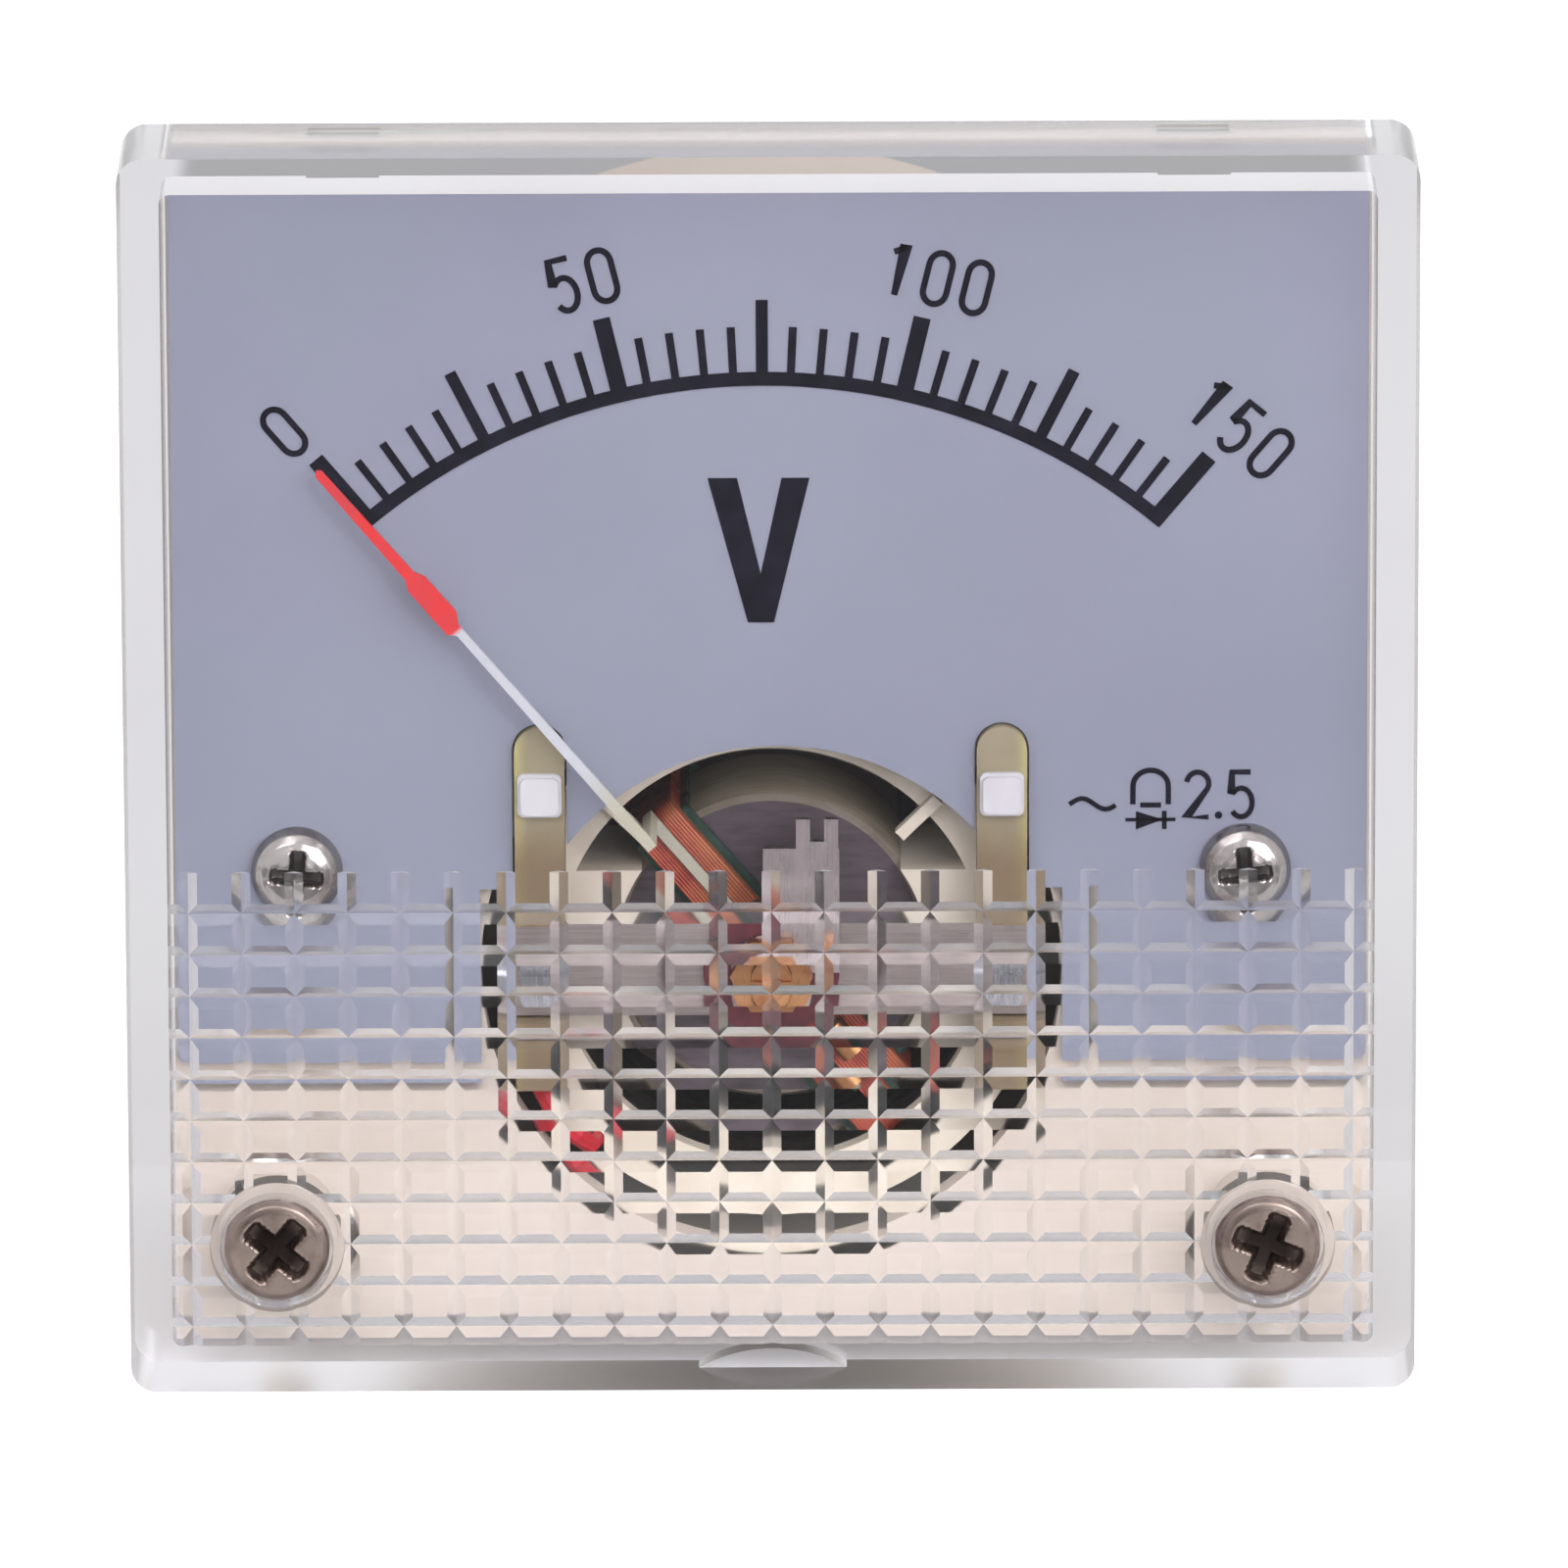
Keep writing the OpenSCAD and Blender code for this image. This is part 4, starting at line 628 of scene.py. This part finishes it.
def make_turned_pair():
    """Two turned parts, left and right: a profile of (reach, depth) spun about Y.

    A thread ridge may run round the shank, and a cross recess may sink into the face.
    """
    wire, take, give = new_tree(
        "turned_pair", "GeometryNodeTree",
        [("Profile", SHAPE, None), ("Sides", COUNT, 48), ("Half Spacing", NUMBER, 0.0),
         ("Height", NUMBER, 0.0), ("Left Turn", NUMBER, 0.0), ("Right Turn", NUMBER, 0.0),
         ("Pitch", NUMBER, 0.001), ("Thread Depth", NUMBER, 0.0),
         ("Thread Start", NUMBER, 0.0), ("Thread End", NUMBER, 0.0),
         ("Recess Reach", NUMBER, 0.001), ("Recess Width", NUMBER, 0.001),
         ("Recess Depth", NUMBER, 0.0), ("Recess Soft", NUMBER, 0.0001),
         ("Face Limit", NUMBER, 0.0), ("Finish", FINISH, None)],
        [("Shape", SHAPE)])
    rows = wire.node("GeometryNodeAttributeDomainSize", component="MESH")
    wire.join(take["Profile"], rows.inputs["Geometry"])
    sheet = wire.node("GeometryNodeMeshGrid")
    wire.feed(sheet.inputs["Vertices X"], wire.sum("ADD", take["Sides"], 1.0))
    wire.join(rows.outputs["Point Count"], sheet.inputs["Vertices Y"])
    index = wire.node("GeometryNodeInputIndex").outputs[0]
    row = wire.sum("FLOORED_MODULO", index, rows.outputs["Point Count"])
    column = wire.sum("FLOOR", wire.sum("DIVIDE", wire.sum("ADD", index, 0.5),
                                        rows.outputs["Point Count"]))
    spot = wire.node("GeometryNodeSampleIndex", data_type="FLOAT_VECTOR", domain="POINT")
    wire.join(take["Profile"], spot.inputs["Geometry"])
    wire.join(wire.node("GeometryNodeInputPosition").outputs[0], spot.inputs["Value"])
    wire.join(row, spot.inputs["Index"])
    reach, depth, _ = wire.apart(spot.outputs[0])
    share = wire.sum("DIVIDE", column, take["Sides"])
    angle = wire.sum("MULTIPLY", share, 2 * math.pi)

    rise = wire.sum("FRACT", wire.sum("ADD", wire.sum("DIVIDE", depth, take["Pitch"]), share))
    flank = wire.sum("ABSOLUTE", wire.sum("SUBTRACT", wire.sum("MULTIPLY", rise, 2.0), 1.0))
    ridge = wire.step(flank, 0.2, 0.9, 1.0, 0.0)
    run_in = wire.step(depth, take["Thread Start"],
                       wire.sum("ADD", take["Thread Start"], take["Pitch"]))
    run_out = wire.step(depth, wire.sum("SUBTRACT", take["Thread End"], take["Pitch"]),
                        take["Thread End"], 1.0, 0.0)
    height = wire.sum("MULTIPLY", wire.sum("MULTIPLY", ridge, take["Thread Depth"]),
                      wire.sum("MULTIPLY", run_in, run_out))
    reach = wire.sum("ADD", reach, height)
    x = wire.sum("MULTIPLY", reach, wire.sum("COSINE", angle))
    z = wire.sum("MULTIPLY", reach, wire.sum("SINE", angle))

    half = wire.sum("MULTIPLY", take["Recess Width"], 0.5)
    wide = wire.sum("ADD", half, take["Recess Soft"])
    short = wire.sum("SUBTRACT", take["Recess Reach"], take["Recess Soft"])
    arms = []
    for across, along in ((x, z), (z, x)):
        arms.append(wire.sum("MULTIPLY",
                             wire.step(wire.sum("ABSOLUTE", across), half, wide, 1.0, 0.0),
                             wire.step(wire.sum("ABSOLUTE", along), short,
                                       take["Recess Reach"], 1.0, 0.0)))
    cross = wire.sum("MULTIPLY", wire.sum("MAXIMUM", *arms),
                     wire.step(reach, 0.0, take["Recess Reach"], 1.0, 0.6))
    cross = wire.sum("MULTIPLY", cross, wire.sum("LESS_THAN", depth, take["Face Limit"]))
    depth = wire.sum("ADD", depth, wire.sum("MULTIPLY", cross, take["Recess Depth"]))

    placed = wire.node("GeometryNodeSetPosition")
    wire.join(sheet.outputs["Mesh"], placed.inputs["Geometry"])
    wire.join(wire.together(x, depth, z), placed.inputs["Position"])
    closed = wire.node("GeometryNodeMergeByDistance")
    wire.join(placed.outputs[0], closed.inputs["Geometry"])
    closed.inputs["Distance"].default_value = SEAM

    places = wire.node("GeometryNodeMeshLine", mode="END_POINTS")
    places.inputs["Count"].default_value = 2
    left = wire.sum("MULTIPLY", take["Half Spacing"], -1.0)
    wire.join(wire.together(left, 0.0, take["Height"]), places.inputs["Start Location"])
    wire.join(wire.together(take["Half Spacing"], 0.0, take["Height"]), places.inputs["Offset"])
    spin = wire.sum("ADD", take["Left Turn"],
                    wire.sum("MULTIPLY", wire.node("GeometryNodeInputIndex").outputs[0],
                             wire.sum("SUBTRACT", take["Right Turn"], take["Left Turn"])))
    pair = wire.node("GeometryNodeInstanceOnPoints")
    wire.join(places.outputs["Mesh"], pair.inputs["Points"])
    wire.join(closed.outputs[0], pair.inputs["Instance"])
    wire.join(wire.together(0.0, spin, 0.0), pair.inputs["Rotation"])
    real = wire.node("GeometryNodeRealizeInstances")
    wire.join(pair.outputs[0], real.inputs[0])
    dressed = wire.node("GeometryNodeSetMaterial")
    wire.join(real.outputs[0], dressed.inputs["Geometry"])
    wire.join(take["Finish"], dressed.inputs["Material"])
    wire.join(dressed.outputs[0], give["Shape"])
    return wire.tree


TURNED_PAIR = make_turned_pair()
# The longest legs of a screw's outline, on its face and on its shank.
FACE_LEG, SHANK_LEG = 0.09 * MM, 0.08 * MM


def spaced(points, gap):
    """The same outline with its long legs cut up, so that no leg is over gap."""
    out = [points[0]]
    for (r0, y0), (r1, y1) in zip(points, points[1:]):
        legs = max(1, math.ceil(math.hypot(r1 - r0, y1 - y0) / gap))
        out += [(r0 + (r1 - r0) * k / legs, y0 + (y1 - y0) * k / legs)
                for k in range(1, legs + 1)]
    return out


def grow_pair(profile, **sizes):
    """The plain mesh of one pair of turned parts."""
    source = bpy.data.meshes.new("profile")
    source.from_pydata([(reach, depth, 0.0) for reach, depth in profile], [], [])
    holder = bpy.data.objects.new("profile", source)
    bpy.context.scene.collection.objects.link(holder)
    growth = holder.modifiers.new("growth", "NODES")
    growth.node_group = TURNED_PAIR
    for item in TURNED_PAIR.interface.items_tree:
        label = item.name.replace(" ", "_")
        if item.in_out == "INPUT" and label in sizes:
            growth[item.identifier] = sizes[label]
    ready = holder.evaluated_get(bpy.context.evaluated_depsgraph_get())
    mesh = bpy.data.meshes.new_from_object(ready)
    bpy.data.objects.remove(holder)
    return mesh


def turned_piece(name, shape, finish, node):
    """Grown parts as one piece, smooth but for their sharp edges, in a node's place."""
    piece = as_piece(name, shape, finish, "meter")
    for face in piece.data.polygons:
        face.use_smooth = True
    piece.data.set_sharp_from_angle(angle=SHARP_EDGE)
    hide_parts(node)
    return piece


def cross_head_screws(name, node, face, finish, seat, shank_r, turns, recess, thread):
    """A pair of screws.

    face lists (reach, depth below the front) from centre to rim, and recess is the cross
    recess's reach, width, depth and softness. turns are the two heads' turns in degrees.
    """
    low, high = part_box(node)
    front, tip = low[1], high[1]
    head_r = face[-1][0] * MM
    rim = [(r * MM, front + y * MM) for r, y in face]
    chamfer = 0.3 * MM
    shank = [(head_r, front + seat), (shank_r, front + seat), (shank_r, tip - chamfer),
             (shank_r - chamfer, tip), (0.0, tip)]
    profile = spaced(rim, FACE_LEG) + spaced(shank, SHANK_LEG)
    reach, width, depth, soft = (size * MM for size in recess)
    left, right = (math.radians(turn) for turn in turns)
    mesh = grow_pair(profile, Sides=64, Half_Spacing=high[0] - head_r,
                     Height=(low[2] + high[2]) / 2, Left_Turn=left, Right_Turn=right,
                     Pitch=0.5 * MM, Thread_Depth=thread, Thread_Start=front + seat + 0.2 * MM,
                     Thread_End=tip - 0.2 * MM, Recess_Reach=reach, Recess_Width=width,
                     Recess_Depth=depth, Recess_Soft=soft, Face_Limit=front + 0.6 * MM,
                     Finish=finish)
    shape = bmesh.new()
    shape.from_mesh(mesh)
    return turned_piece(name, shape, finish, node)


def threaded_studs(name, node, finish, root_r, crest_r, pitch, start, heights, half_spacing):
    """The node's studs, with their free ends cut down and threaded rods grown over them."""
    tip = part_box(node)[1][1]
    shape = bmesh.new()
    shape.from_mesh(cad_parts[node].data)
    core = root_r * 0.9
    for spot in shape.verts:
        x = spot.co.x - math.copysign(half_spacing, spot.co.x)
        z = min((spot.co.z - height for height in heights), key=abs)
        reach = math.hypot(x, z)
        if spot.co.y > start - SEAM and core < reach < crest_r + 0.1 * MM:
            spot.co.x += x * (core / reach - 1)
            spot.co.z += z * (core / reach - 1)
            spot.co.y = min(spot.co.y, tip - 0.2 * MM)
    sunk, chamfer = start - 0.3 * MM, 0.25 * MM
    rod = [(0.0, sunk), (root_r, sunk), (root_r, tip - chamfer), (root_r - chamfer, tip),
           (0.0, tip)]
    for height in heights:
        mesh = grow_pair(spaced(rod, pitch / 8), Sides=24, Half_Spacing=half_spacing,
                         Height=height, Pitch=pitch, Thread_Depth=crest_r - root_r,
                         Thread_Start=start, Thread_End=tip - 0.1 * MM, Finish=finish)
        shape.from_mesh(mesh)
    return turned_piece(name, shape, finish, node)


# ---- the cad pieces take their finishes --------------------------------------------------

def dress(finish, *names):
    """One finish on all the surfaces of the named nodes."""
    for name in names:
        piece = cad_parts[name]
        if not piece.material_slots:
            piece.data.materials.append(finish)
        for spot in piece.material_slots:
            spot.material = finish


COVER_HEAD = [(0.0, 0.0), (1.95, 0.03), (2.3, 0.1), (2.52, 0.26), (2.62, 0.5)]
DIAL_HEAD = [(0.0, 0.0), (0.8, 0.03), (1.3, 0.14), (1.75, 0.38), (2.08, 0.74), (2.28, 1.16)]
BRASS, DULL_BRASS = tone(210, 180, 112), tone(182, 146, 84)

dress(clear_moulding(), "cover")
cross_head_screws(
    "cover_cross_screws", "cover_screws", COVER_HEAD,
    screw_head_finish("dull_plated_screw", tone(158, 142, 135), tone(122, 104, 98), 0.34,
                      CORNER_X, CORNER_LOW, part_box("cover_screws")[0][1], 1.95 * MM),
    seat=1.55 * MM, shank_r=1.25 * MM, turns=(40, 22), recess=(1.9, 0.62, 0.95, 0.34),
    thread=0.2 * MM)
cross_head_screws(
    "dial_cross_screws", "dial_screws", DIAL_HEAD,
    screw_head_finish("bright_plated_screw", tone(206, 200, 194), tone(166, 156, 150), 0.2,
                      DIAL_SCREW_X, DIAL_SCREW_Z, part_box("dial_screws")[0][1], 1.4 * MM),
    seat=1.6 * MM, shank_r=1.1 * MM, turns=(5, -5), recess=(1.42, 0.4, 0.9, 0.22),
    thread=0.0)
threaded_studs(
    "threaded_mounting_studs", "mounting_studs",
    turned_finish("stud_brass", BRASS, DULL_BRASS, 0.3, CORNER_X, (CORNER_LOW + CORNER_HIGH) / 2),
    root_r=1.2 * MM, crest_r=1.5 * MM, pitch=0.5 * MM, start=0.0,
    heights=(CORNER_LOW, CORNER_HIGH), half_spacing=CORNER_X)
threaded_studs(
    "threaded_terminal_studs", "terminal_studs",
    turned_finish("terminal_brass", BRASS, DULL_BRASS, 0.28, TERMINAL_X, TERMINAL_Z),
    root_r=1.6 * MM, crest_r=2.0 * MM, pitch=0.7 * MM, start=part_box("terminal_nuts")[1][1],
    heights=(TERMINAL_Z,), half_spacing=TERMINAL_X)
dress(moulded_finish("ivory_moulding", tone(214, 202, 189), tone(208, 196, 182), 0.42),
      "case")
dress(moulded_finish("frame_moulding", tone(236, 226, 208), tone(222, 210, 190), 0.45, 300.0),
      "movement_frame")
dress(post_nylon(), "frame_posts")
dress(moulded_finish("white_rivet", tone(212, 210, 212), tone(203, 201, 204), 0.34, 600.0),
      "frame_rivets")
dress(dial_paint(), "dial_plate")
INK = dial_ink()
dress(INK, "scale_marks")
dress(turned_finish("turned_brass", tone(196, 142, 98), tone(150, 92, 62), 0.34),
      "front_jewel_screw", "rear_jewel_screw", "front_lock_nut", "rear_lock_nut",
      "balance_weights")
dress(turned_finish("nickel_plate", tone(214, 210, 204), tone(190, 184, 176), 0.22,
                    TERMINAL_X, TERMINAL_Z),
      "terminal_nuts", "terminal_washers", "terminal_lock_nuts")
dress(turned_finish("soft_iron", tone(104, 98, 94), tone(72, 66, 64), 0.45), "yoke_ring")
dress(ground_drum(), "core_magnet")
dress(brushed_finish("plated_bridge", tone(198, 186, 180), tone(164, 150, 146), 0.34,
                     (160.0, 160.0, 5000.0)), "front_bridge", "rear_bridge")
dress(brushed_finish("plated_lever", tone(216, 204, 202), tone(190, 176, 174), 0.3,
                     (4200.0, 160.0, 200.0)), "zero_lever")
dress(turned_finish("fine_steel", tone(196, 196, 200), tone(160, 160, 164), 0.24),
      "front_bridge_screws", "rear_bridge_screws", "front_staff", "rear_staff")
dress(moulded_finish("red_fibre", tone(96, 30, 40), tone(70, 20, 30), 0.62, 900.0, 4200.0,
                     0.02 * MM), "fibre_washer")
dress(brushed_finish("spring_bronze", tone(200, 128, 76), tone(168, 98, 58), 0.28,
                     (900.0, 4000.0, 900.0)), "front_hairspring", "rear_hairspring")
dress(brushed_finish("green_lacquer", tone(52, 84, 72), tone(34, 58, 50), 0.35,
                     (700.0, 700.0, 700.0), metal=0.3), "coil_former")
dress(wound_copper(), "coil_winding")
dress(pointer_finish(), "pointer")
dress(board_laminate(), "circuit_board")

# Four colour bands on the resistor: the first one's place, the pitch and the width.
BAND_FIRST, BAND_PITCH, BAND_WIDTH = -2.2 * MM, 1.15 * MM, 0.5 * MM
resistor_mid = sum(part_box("series_resistor")[k][0] for k in (0, 1)) / 2
bands = []
for k, shade in enumerate((tone(122, 72, 40), tone(30, 28, 28), tone(214, 120, 30),
                           tone(190, 160, 70))):
    start = resistor_mid + BAND_FIRST + BAND_PITCH * k
    bands.append((start, start + BAND_WIDTH, shade))
dress(leaded_body("resistor_lacquer", 3.3 * MM, resistor_mid, tone(132, 172, 190),
                  tone(118, 160, 180), bands), "series_resistor")
dress(leaded_body("diode_moulding", 2.1 * MM, 0.0, tone(34, 33, 36), tone(26, 25, 28),
                  [(1.2 * MM, 1.7 * MM, tone(206, 206, 206))]), "diodes")
dress(moulded_finish("red_insulation", tone(206, 34, 52), tone(186, 26, 44), 0.34, 500.0),
      "red_wire")
dress(moulded_finish("blue_insulation", tone(52, 78, 160), tone(42, 66, 144), 0.34, 500.0),
      "blue_wire")

# ---- print on the dial ------------------------------------------------------------------

dial_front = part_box("dial_plate")[0][1]
ink_front = dial_front - INK_RAISED
FIGURE_W, FIGURE_H, FIGURE_PEN = 1.16 * MM, 2.62 * MM, 0.31 * MM
FIGURE_PITCH = 1.98 * MM
FIGURE_REACH = 36.5 * MM

numerals = bmesh.new()
for words, degrees in (("0", -40.4), ("50", -14.0), ("100", 13.8), ("150", 40.4)):
    turn = math.radians(degrees)
    centre = (PRINT_X + FIGURE_REACH * math.sin(turn), PIVOT_Z + FIGURE_REACH * math.cos(turn))
    write_figures(numerals, words, centre, turn, FIGURE_W, FIGURE_H, FIGURE_PITCH, FIGURE_PEN,
                  ink_front, dial_front)
as_piece("scale_numerals", numerals, INK, "meter")

LETTER_RAISED = 2.5 * MM
unit_letter = bmesh.new()
letter = [(-3.07, 14.15), (-1.095, 6.78), (0.20, 6.78), (1.98, 14.15), (0.60, 14.15),
          (-0.45, 9.26), (-1.61, 14.15)]
printed_outline(unit_letter, [(x * MM, z * MM + LETTER_RAISED) for x, z in letter],
                ink_front, dial_front)
as_piece("unit_letter", unit_letter, INK, "meter")


def on_dial(u, v):
    """A place on the dial, from millimetres."""
    return u * MM, v * MM


WAVE_STEPS = 20
symbols = bmesh.new()
wave = []
for k in range(WAVE_STEPS + 1):
    t = k / WAVE_STEPS
    wave.append((14.86 + 2.3 * t, -0.07 + 0.26 * math.sin(2 * math.pi * (t - 0.03)) - 0.05 * t))
arch = [(18.02, -0.13), (18.02, 0.8)] + bow(18.9, 0.8, 0.88, 0.82, 180, 0, 18) + [(19.78, -0.13)]
strokes = [(wave, 0.24), (arch, 0.27), ([(18.38, -0.17), (19.42, -0.17)], 0.25),
           ([(17.64, -0.92), (20.14, -0.91)], 0.17), ([(19.58, -0.47), (19.58, -1.4)], 0.24)]
for path, pen in strokes:
    pen_stroke(symbols, path, pen, on_dial, ink_front, dial_front)
printed_outline(symbols, [on_dial(18.17, -0.48), on_dial(18.17, -1.42), on_dial(19.5, -0.91)],
                ink_front, dial_front)
SMALL_W, SMALL_H, SMALL_PEN = 1.1 * MM, 2.3 * MM, 0.27 * MM
for figure, centre_x in (("2", 21.24), ("5", 23.4)):
    write_figures(symbols, figure, on_dial(centre_x, 0.36), 0.0, SMALL_W, SMALL_H, 0.0,
                  SMALL_PEN, ink_front, dial_front)
DOT_R, DOT_SIDES = 0.19, 12
dot = [on_dial(22.28 + DOT_R * math.cos(g), -0.7 + DOT_R * math.sin(g))
       for g in (2 * math.pi * k / DOT_SIDES for k in range(DOT_SIDES))]
printed_outline(symbols, dot, ink_front, dial_front)
as_piece("dial_symbols", symbols, INK, "meter")

# ---- floor, light and camera -------------------------------------------------------------

# The floor ends just in front of the meter, so that the clear pane has nothing to mirror.
FLOOR_HALF, FLOOR_FRONT, FLOOR_BACK = 1.5, -0.05, 2.5
FLOOR_BELOW = 0.2 * MM
# Where a strip of it is grey to what looks through the clear cover, well behind the meter: painted
# shade that gives the cover's top wall its grey lines.
STRIP_FRONT, STRIP_HALF, STRIP_SOFT = 0.256, 0.0372, 0.002
PAPER, FAR_PAPER, FAR_STRIP = 0.8, 0.76, 0.34
# How much the floor glows to the camera, and to what metal and glass show.
GLOW_SEEN, GLOW_MIRRORED = 0.45, 0.12


def grey(level):
    """A plain grey of that strength."""
    return (level, level, level, 1.0)


sheet = bmesh.new()
corners = [(-FLOOR_HALF, FLOOR_FRONT), (FLOOR_HALF, FLOOR_FRONT), (FLOOR_HALF, FLOOR_BACK),
           (-FLOOR_HALF, FLOOR_BACK)]
sheet.faces.new([sheet.verts.new((x, y, 0.0)) for x, y in corners])
floor_mesh = bpy.data.meshes.new("floor")
sheet.to_mesh(floor_mesh)
sheet.free()
floor = bpy.data.objects.new("floor", floor_mesh)
floor.location = (0, 0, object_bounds()[0][2] - FLOOR_BELOW)
bpy.context.scene.collection.objects.link(floor)

paper, wire, shader, place = new_finish("white_paper")
shader.inputs["Roughness"].default_value = 0.9
shader.inputs["Specular IOR Level"].default_value = 0.1
rays = wire.node("ShaderNodeLightPath")
across, along, _ = wire.apart(place)
strip = wire.sum("MULTIPLY", wire.step(along, STRIP_FRONT, STRIP_FRONT + 5 * STRIP_SOFT),
                 wire.step(wire.sum("ABSOLUTE", across), STRIP_HALF, STRIP_HALF + STRIP_SOFT,
                           1.0, 0.0))
# Painted shade: the grey strip, seen only through the cover.
far = wire.step(strip, 0.0, 1.0, FAR_PAPER, FAR_STRIP)
wire.join(wire.blend(rays.outputs["Is Transmission Ray"], grey(PAPER),
                     wire.together(far, far, far)), shader.inputs["Base Color"])
glow = wire.node("ShaderNodeEmission")
bounced = wire.sum("MAXIMUM", rays.outputs["Is Glossy Ray"], rays.outputs["Is Transmission Ray"])
seen = wire.sum("MULTIPLY", rays.outputs["Is Camera Ray"], GLOW_SEEN)
wire.join(wire.sum("MAXIMUM", seen, wire.sum("MULTIPLY", bounced, GLOW_MIRRORED)),
          glow.inputs["Strength"])
both = wire.node("ShaderNodeAddShader")
wire.join(shader.outputs[0], both.inputs[0])
wire.join(glow.outputs[0], both.inputs[1])
end_with(wire, both.outputs[0])
floor.data.materials.append(paper)

world = bpy.data.worlds.new("room")
bpy.context.scene.world = world
world.use_nodes = True
world.node_tree.nodes.clear()
wire = Wiring(world.node_tree)
result = wire.node("ShaderNodeOutputWorld")
room = wire.node("ShaderNodeBackground")
# The side that the meter faces is darker; the rest is a pale room. To what looks through
# the cover, the room is white above the floor's edge and grey below it.
TOWARD_VIEWER = (0.0, -0.967, -0.253)
PALE_WALL, DARK_WALL = 0.6, 0.06
BELOW_EDGE, ABOVE_EDGE = 0.42, 1.0
direction = wire.node("ShaderNodeTexCoord").outputs["Generated"]
toward = wire.node("ShaderNodeVectorMath", operation="DOT_PRODUCT")
wire.join(direction, toward.inputs[0])
toward.inputs[1].default_value = TOWARD_VIEWER
wall = wire.step(toward.outputs["Value"], 0.8, 0.97, PALE_WALL, DARK_WALL)
behind = wire.step(wire.apart(direction)[2], -0.02, 0.02, BELOW_EDGE, ABOVE_EDGE)
rays = wire.node("ShaderNodeLightPath")
through = wire.blend(rays.outputs["Is Transmission Ray"], wire.together(wall, wall, wall),
                     wire.together(behind, behind, behind))
wire.join(wire.blend(rays.outputs["Is Camera Ray"], through, grey(1.0)), room.inputs["Color"])
wire.join(room.outputs[0], result.inputs[0])

# Each soft lamp's place, width, height and watts; all of them face the meter's middle.
LAMPS = {"key_light": ((-0.35, -0.75, 0.75), 0.6, 0.6, 3.3),
         "side_light": ((0.8, -0.5, 0.35), 0.5, 0.7, 2.0),
         "front_light": ((0.3, -0.85, 0.28), 0.4, 0.4, 2.7),
         "top_light": ((0.0, 0.25, 0.9), 0.8, 0.5, 2.5)}
MIDDLE = Vector((0, 0, 0))
for name, (place, width, height, watts) in LAMPS.items():
    lamp = bpy.data.lights.new(name, "AREA")
    lamp.shape = "RECTANGLE"
    lamp.size = width
    lamp.size_y = height
    lamp.energy = watts
    holder = bpy.data.objects.new(name, lamp)
    holder.location = place
    holder.rotation_euler = (MIDDLE - Vector(place)).to_track_quat("-Z", "Y").to_euler()
    bpy.context.scene.collection.objects.link(holder)

TILT = math.radians(14.678)
ROLL = math.radians(0.212)
DISTANCE = 895.23 * MM
AIM = Vector((0.664 * MM, -8.0 * MM, 2.239 * MM))
SENSOR, LENS = 36.0, 415.5615
NEAR, FAR = 0.05, 20.0
view = bpy.data.cameras.new("camera")
view.sensor_width = SENSOR
view.lens = LENS
view.clip_start = NEAR
view.clip_end = FAR
camera = bpy.data.objects.new("camera", view)
back = Vector((0, -math.cos(TILT), math.sin(TILT)))
right = Vector((1, 0, 0))
up = Vector((0, math.sin(TILT), math.cos(TILT)))
side = right * math.cos(ROLL) - up * math.sin(ROLL)
rise = right * math.sin(ROLL) + up * math.cos(ROLL)
spot = AIM + back * DISTANCE
camera.matrix_world = Matrix(((side.x, rise.x, back.x, spot.x),
                              (side.y, rise.y, back.y, spot.y),
                              (side.z, rise.z, back.z, spot.z),
                              (0, 0, 0, 1)))
bpy.context.scene.collection.objects.link(camera)
bpy.context.scene.camera = camera
bpy.context.scene.view_settings.view_transform = "Standard"
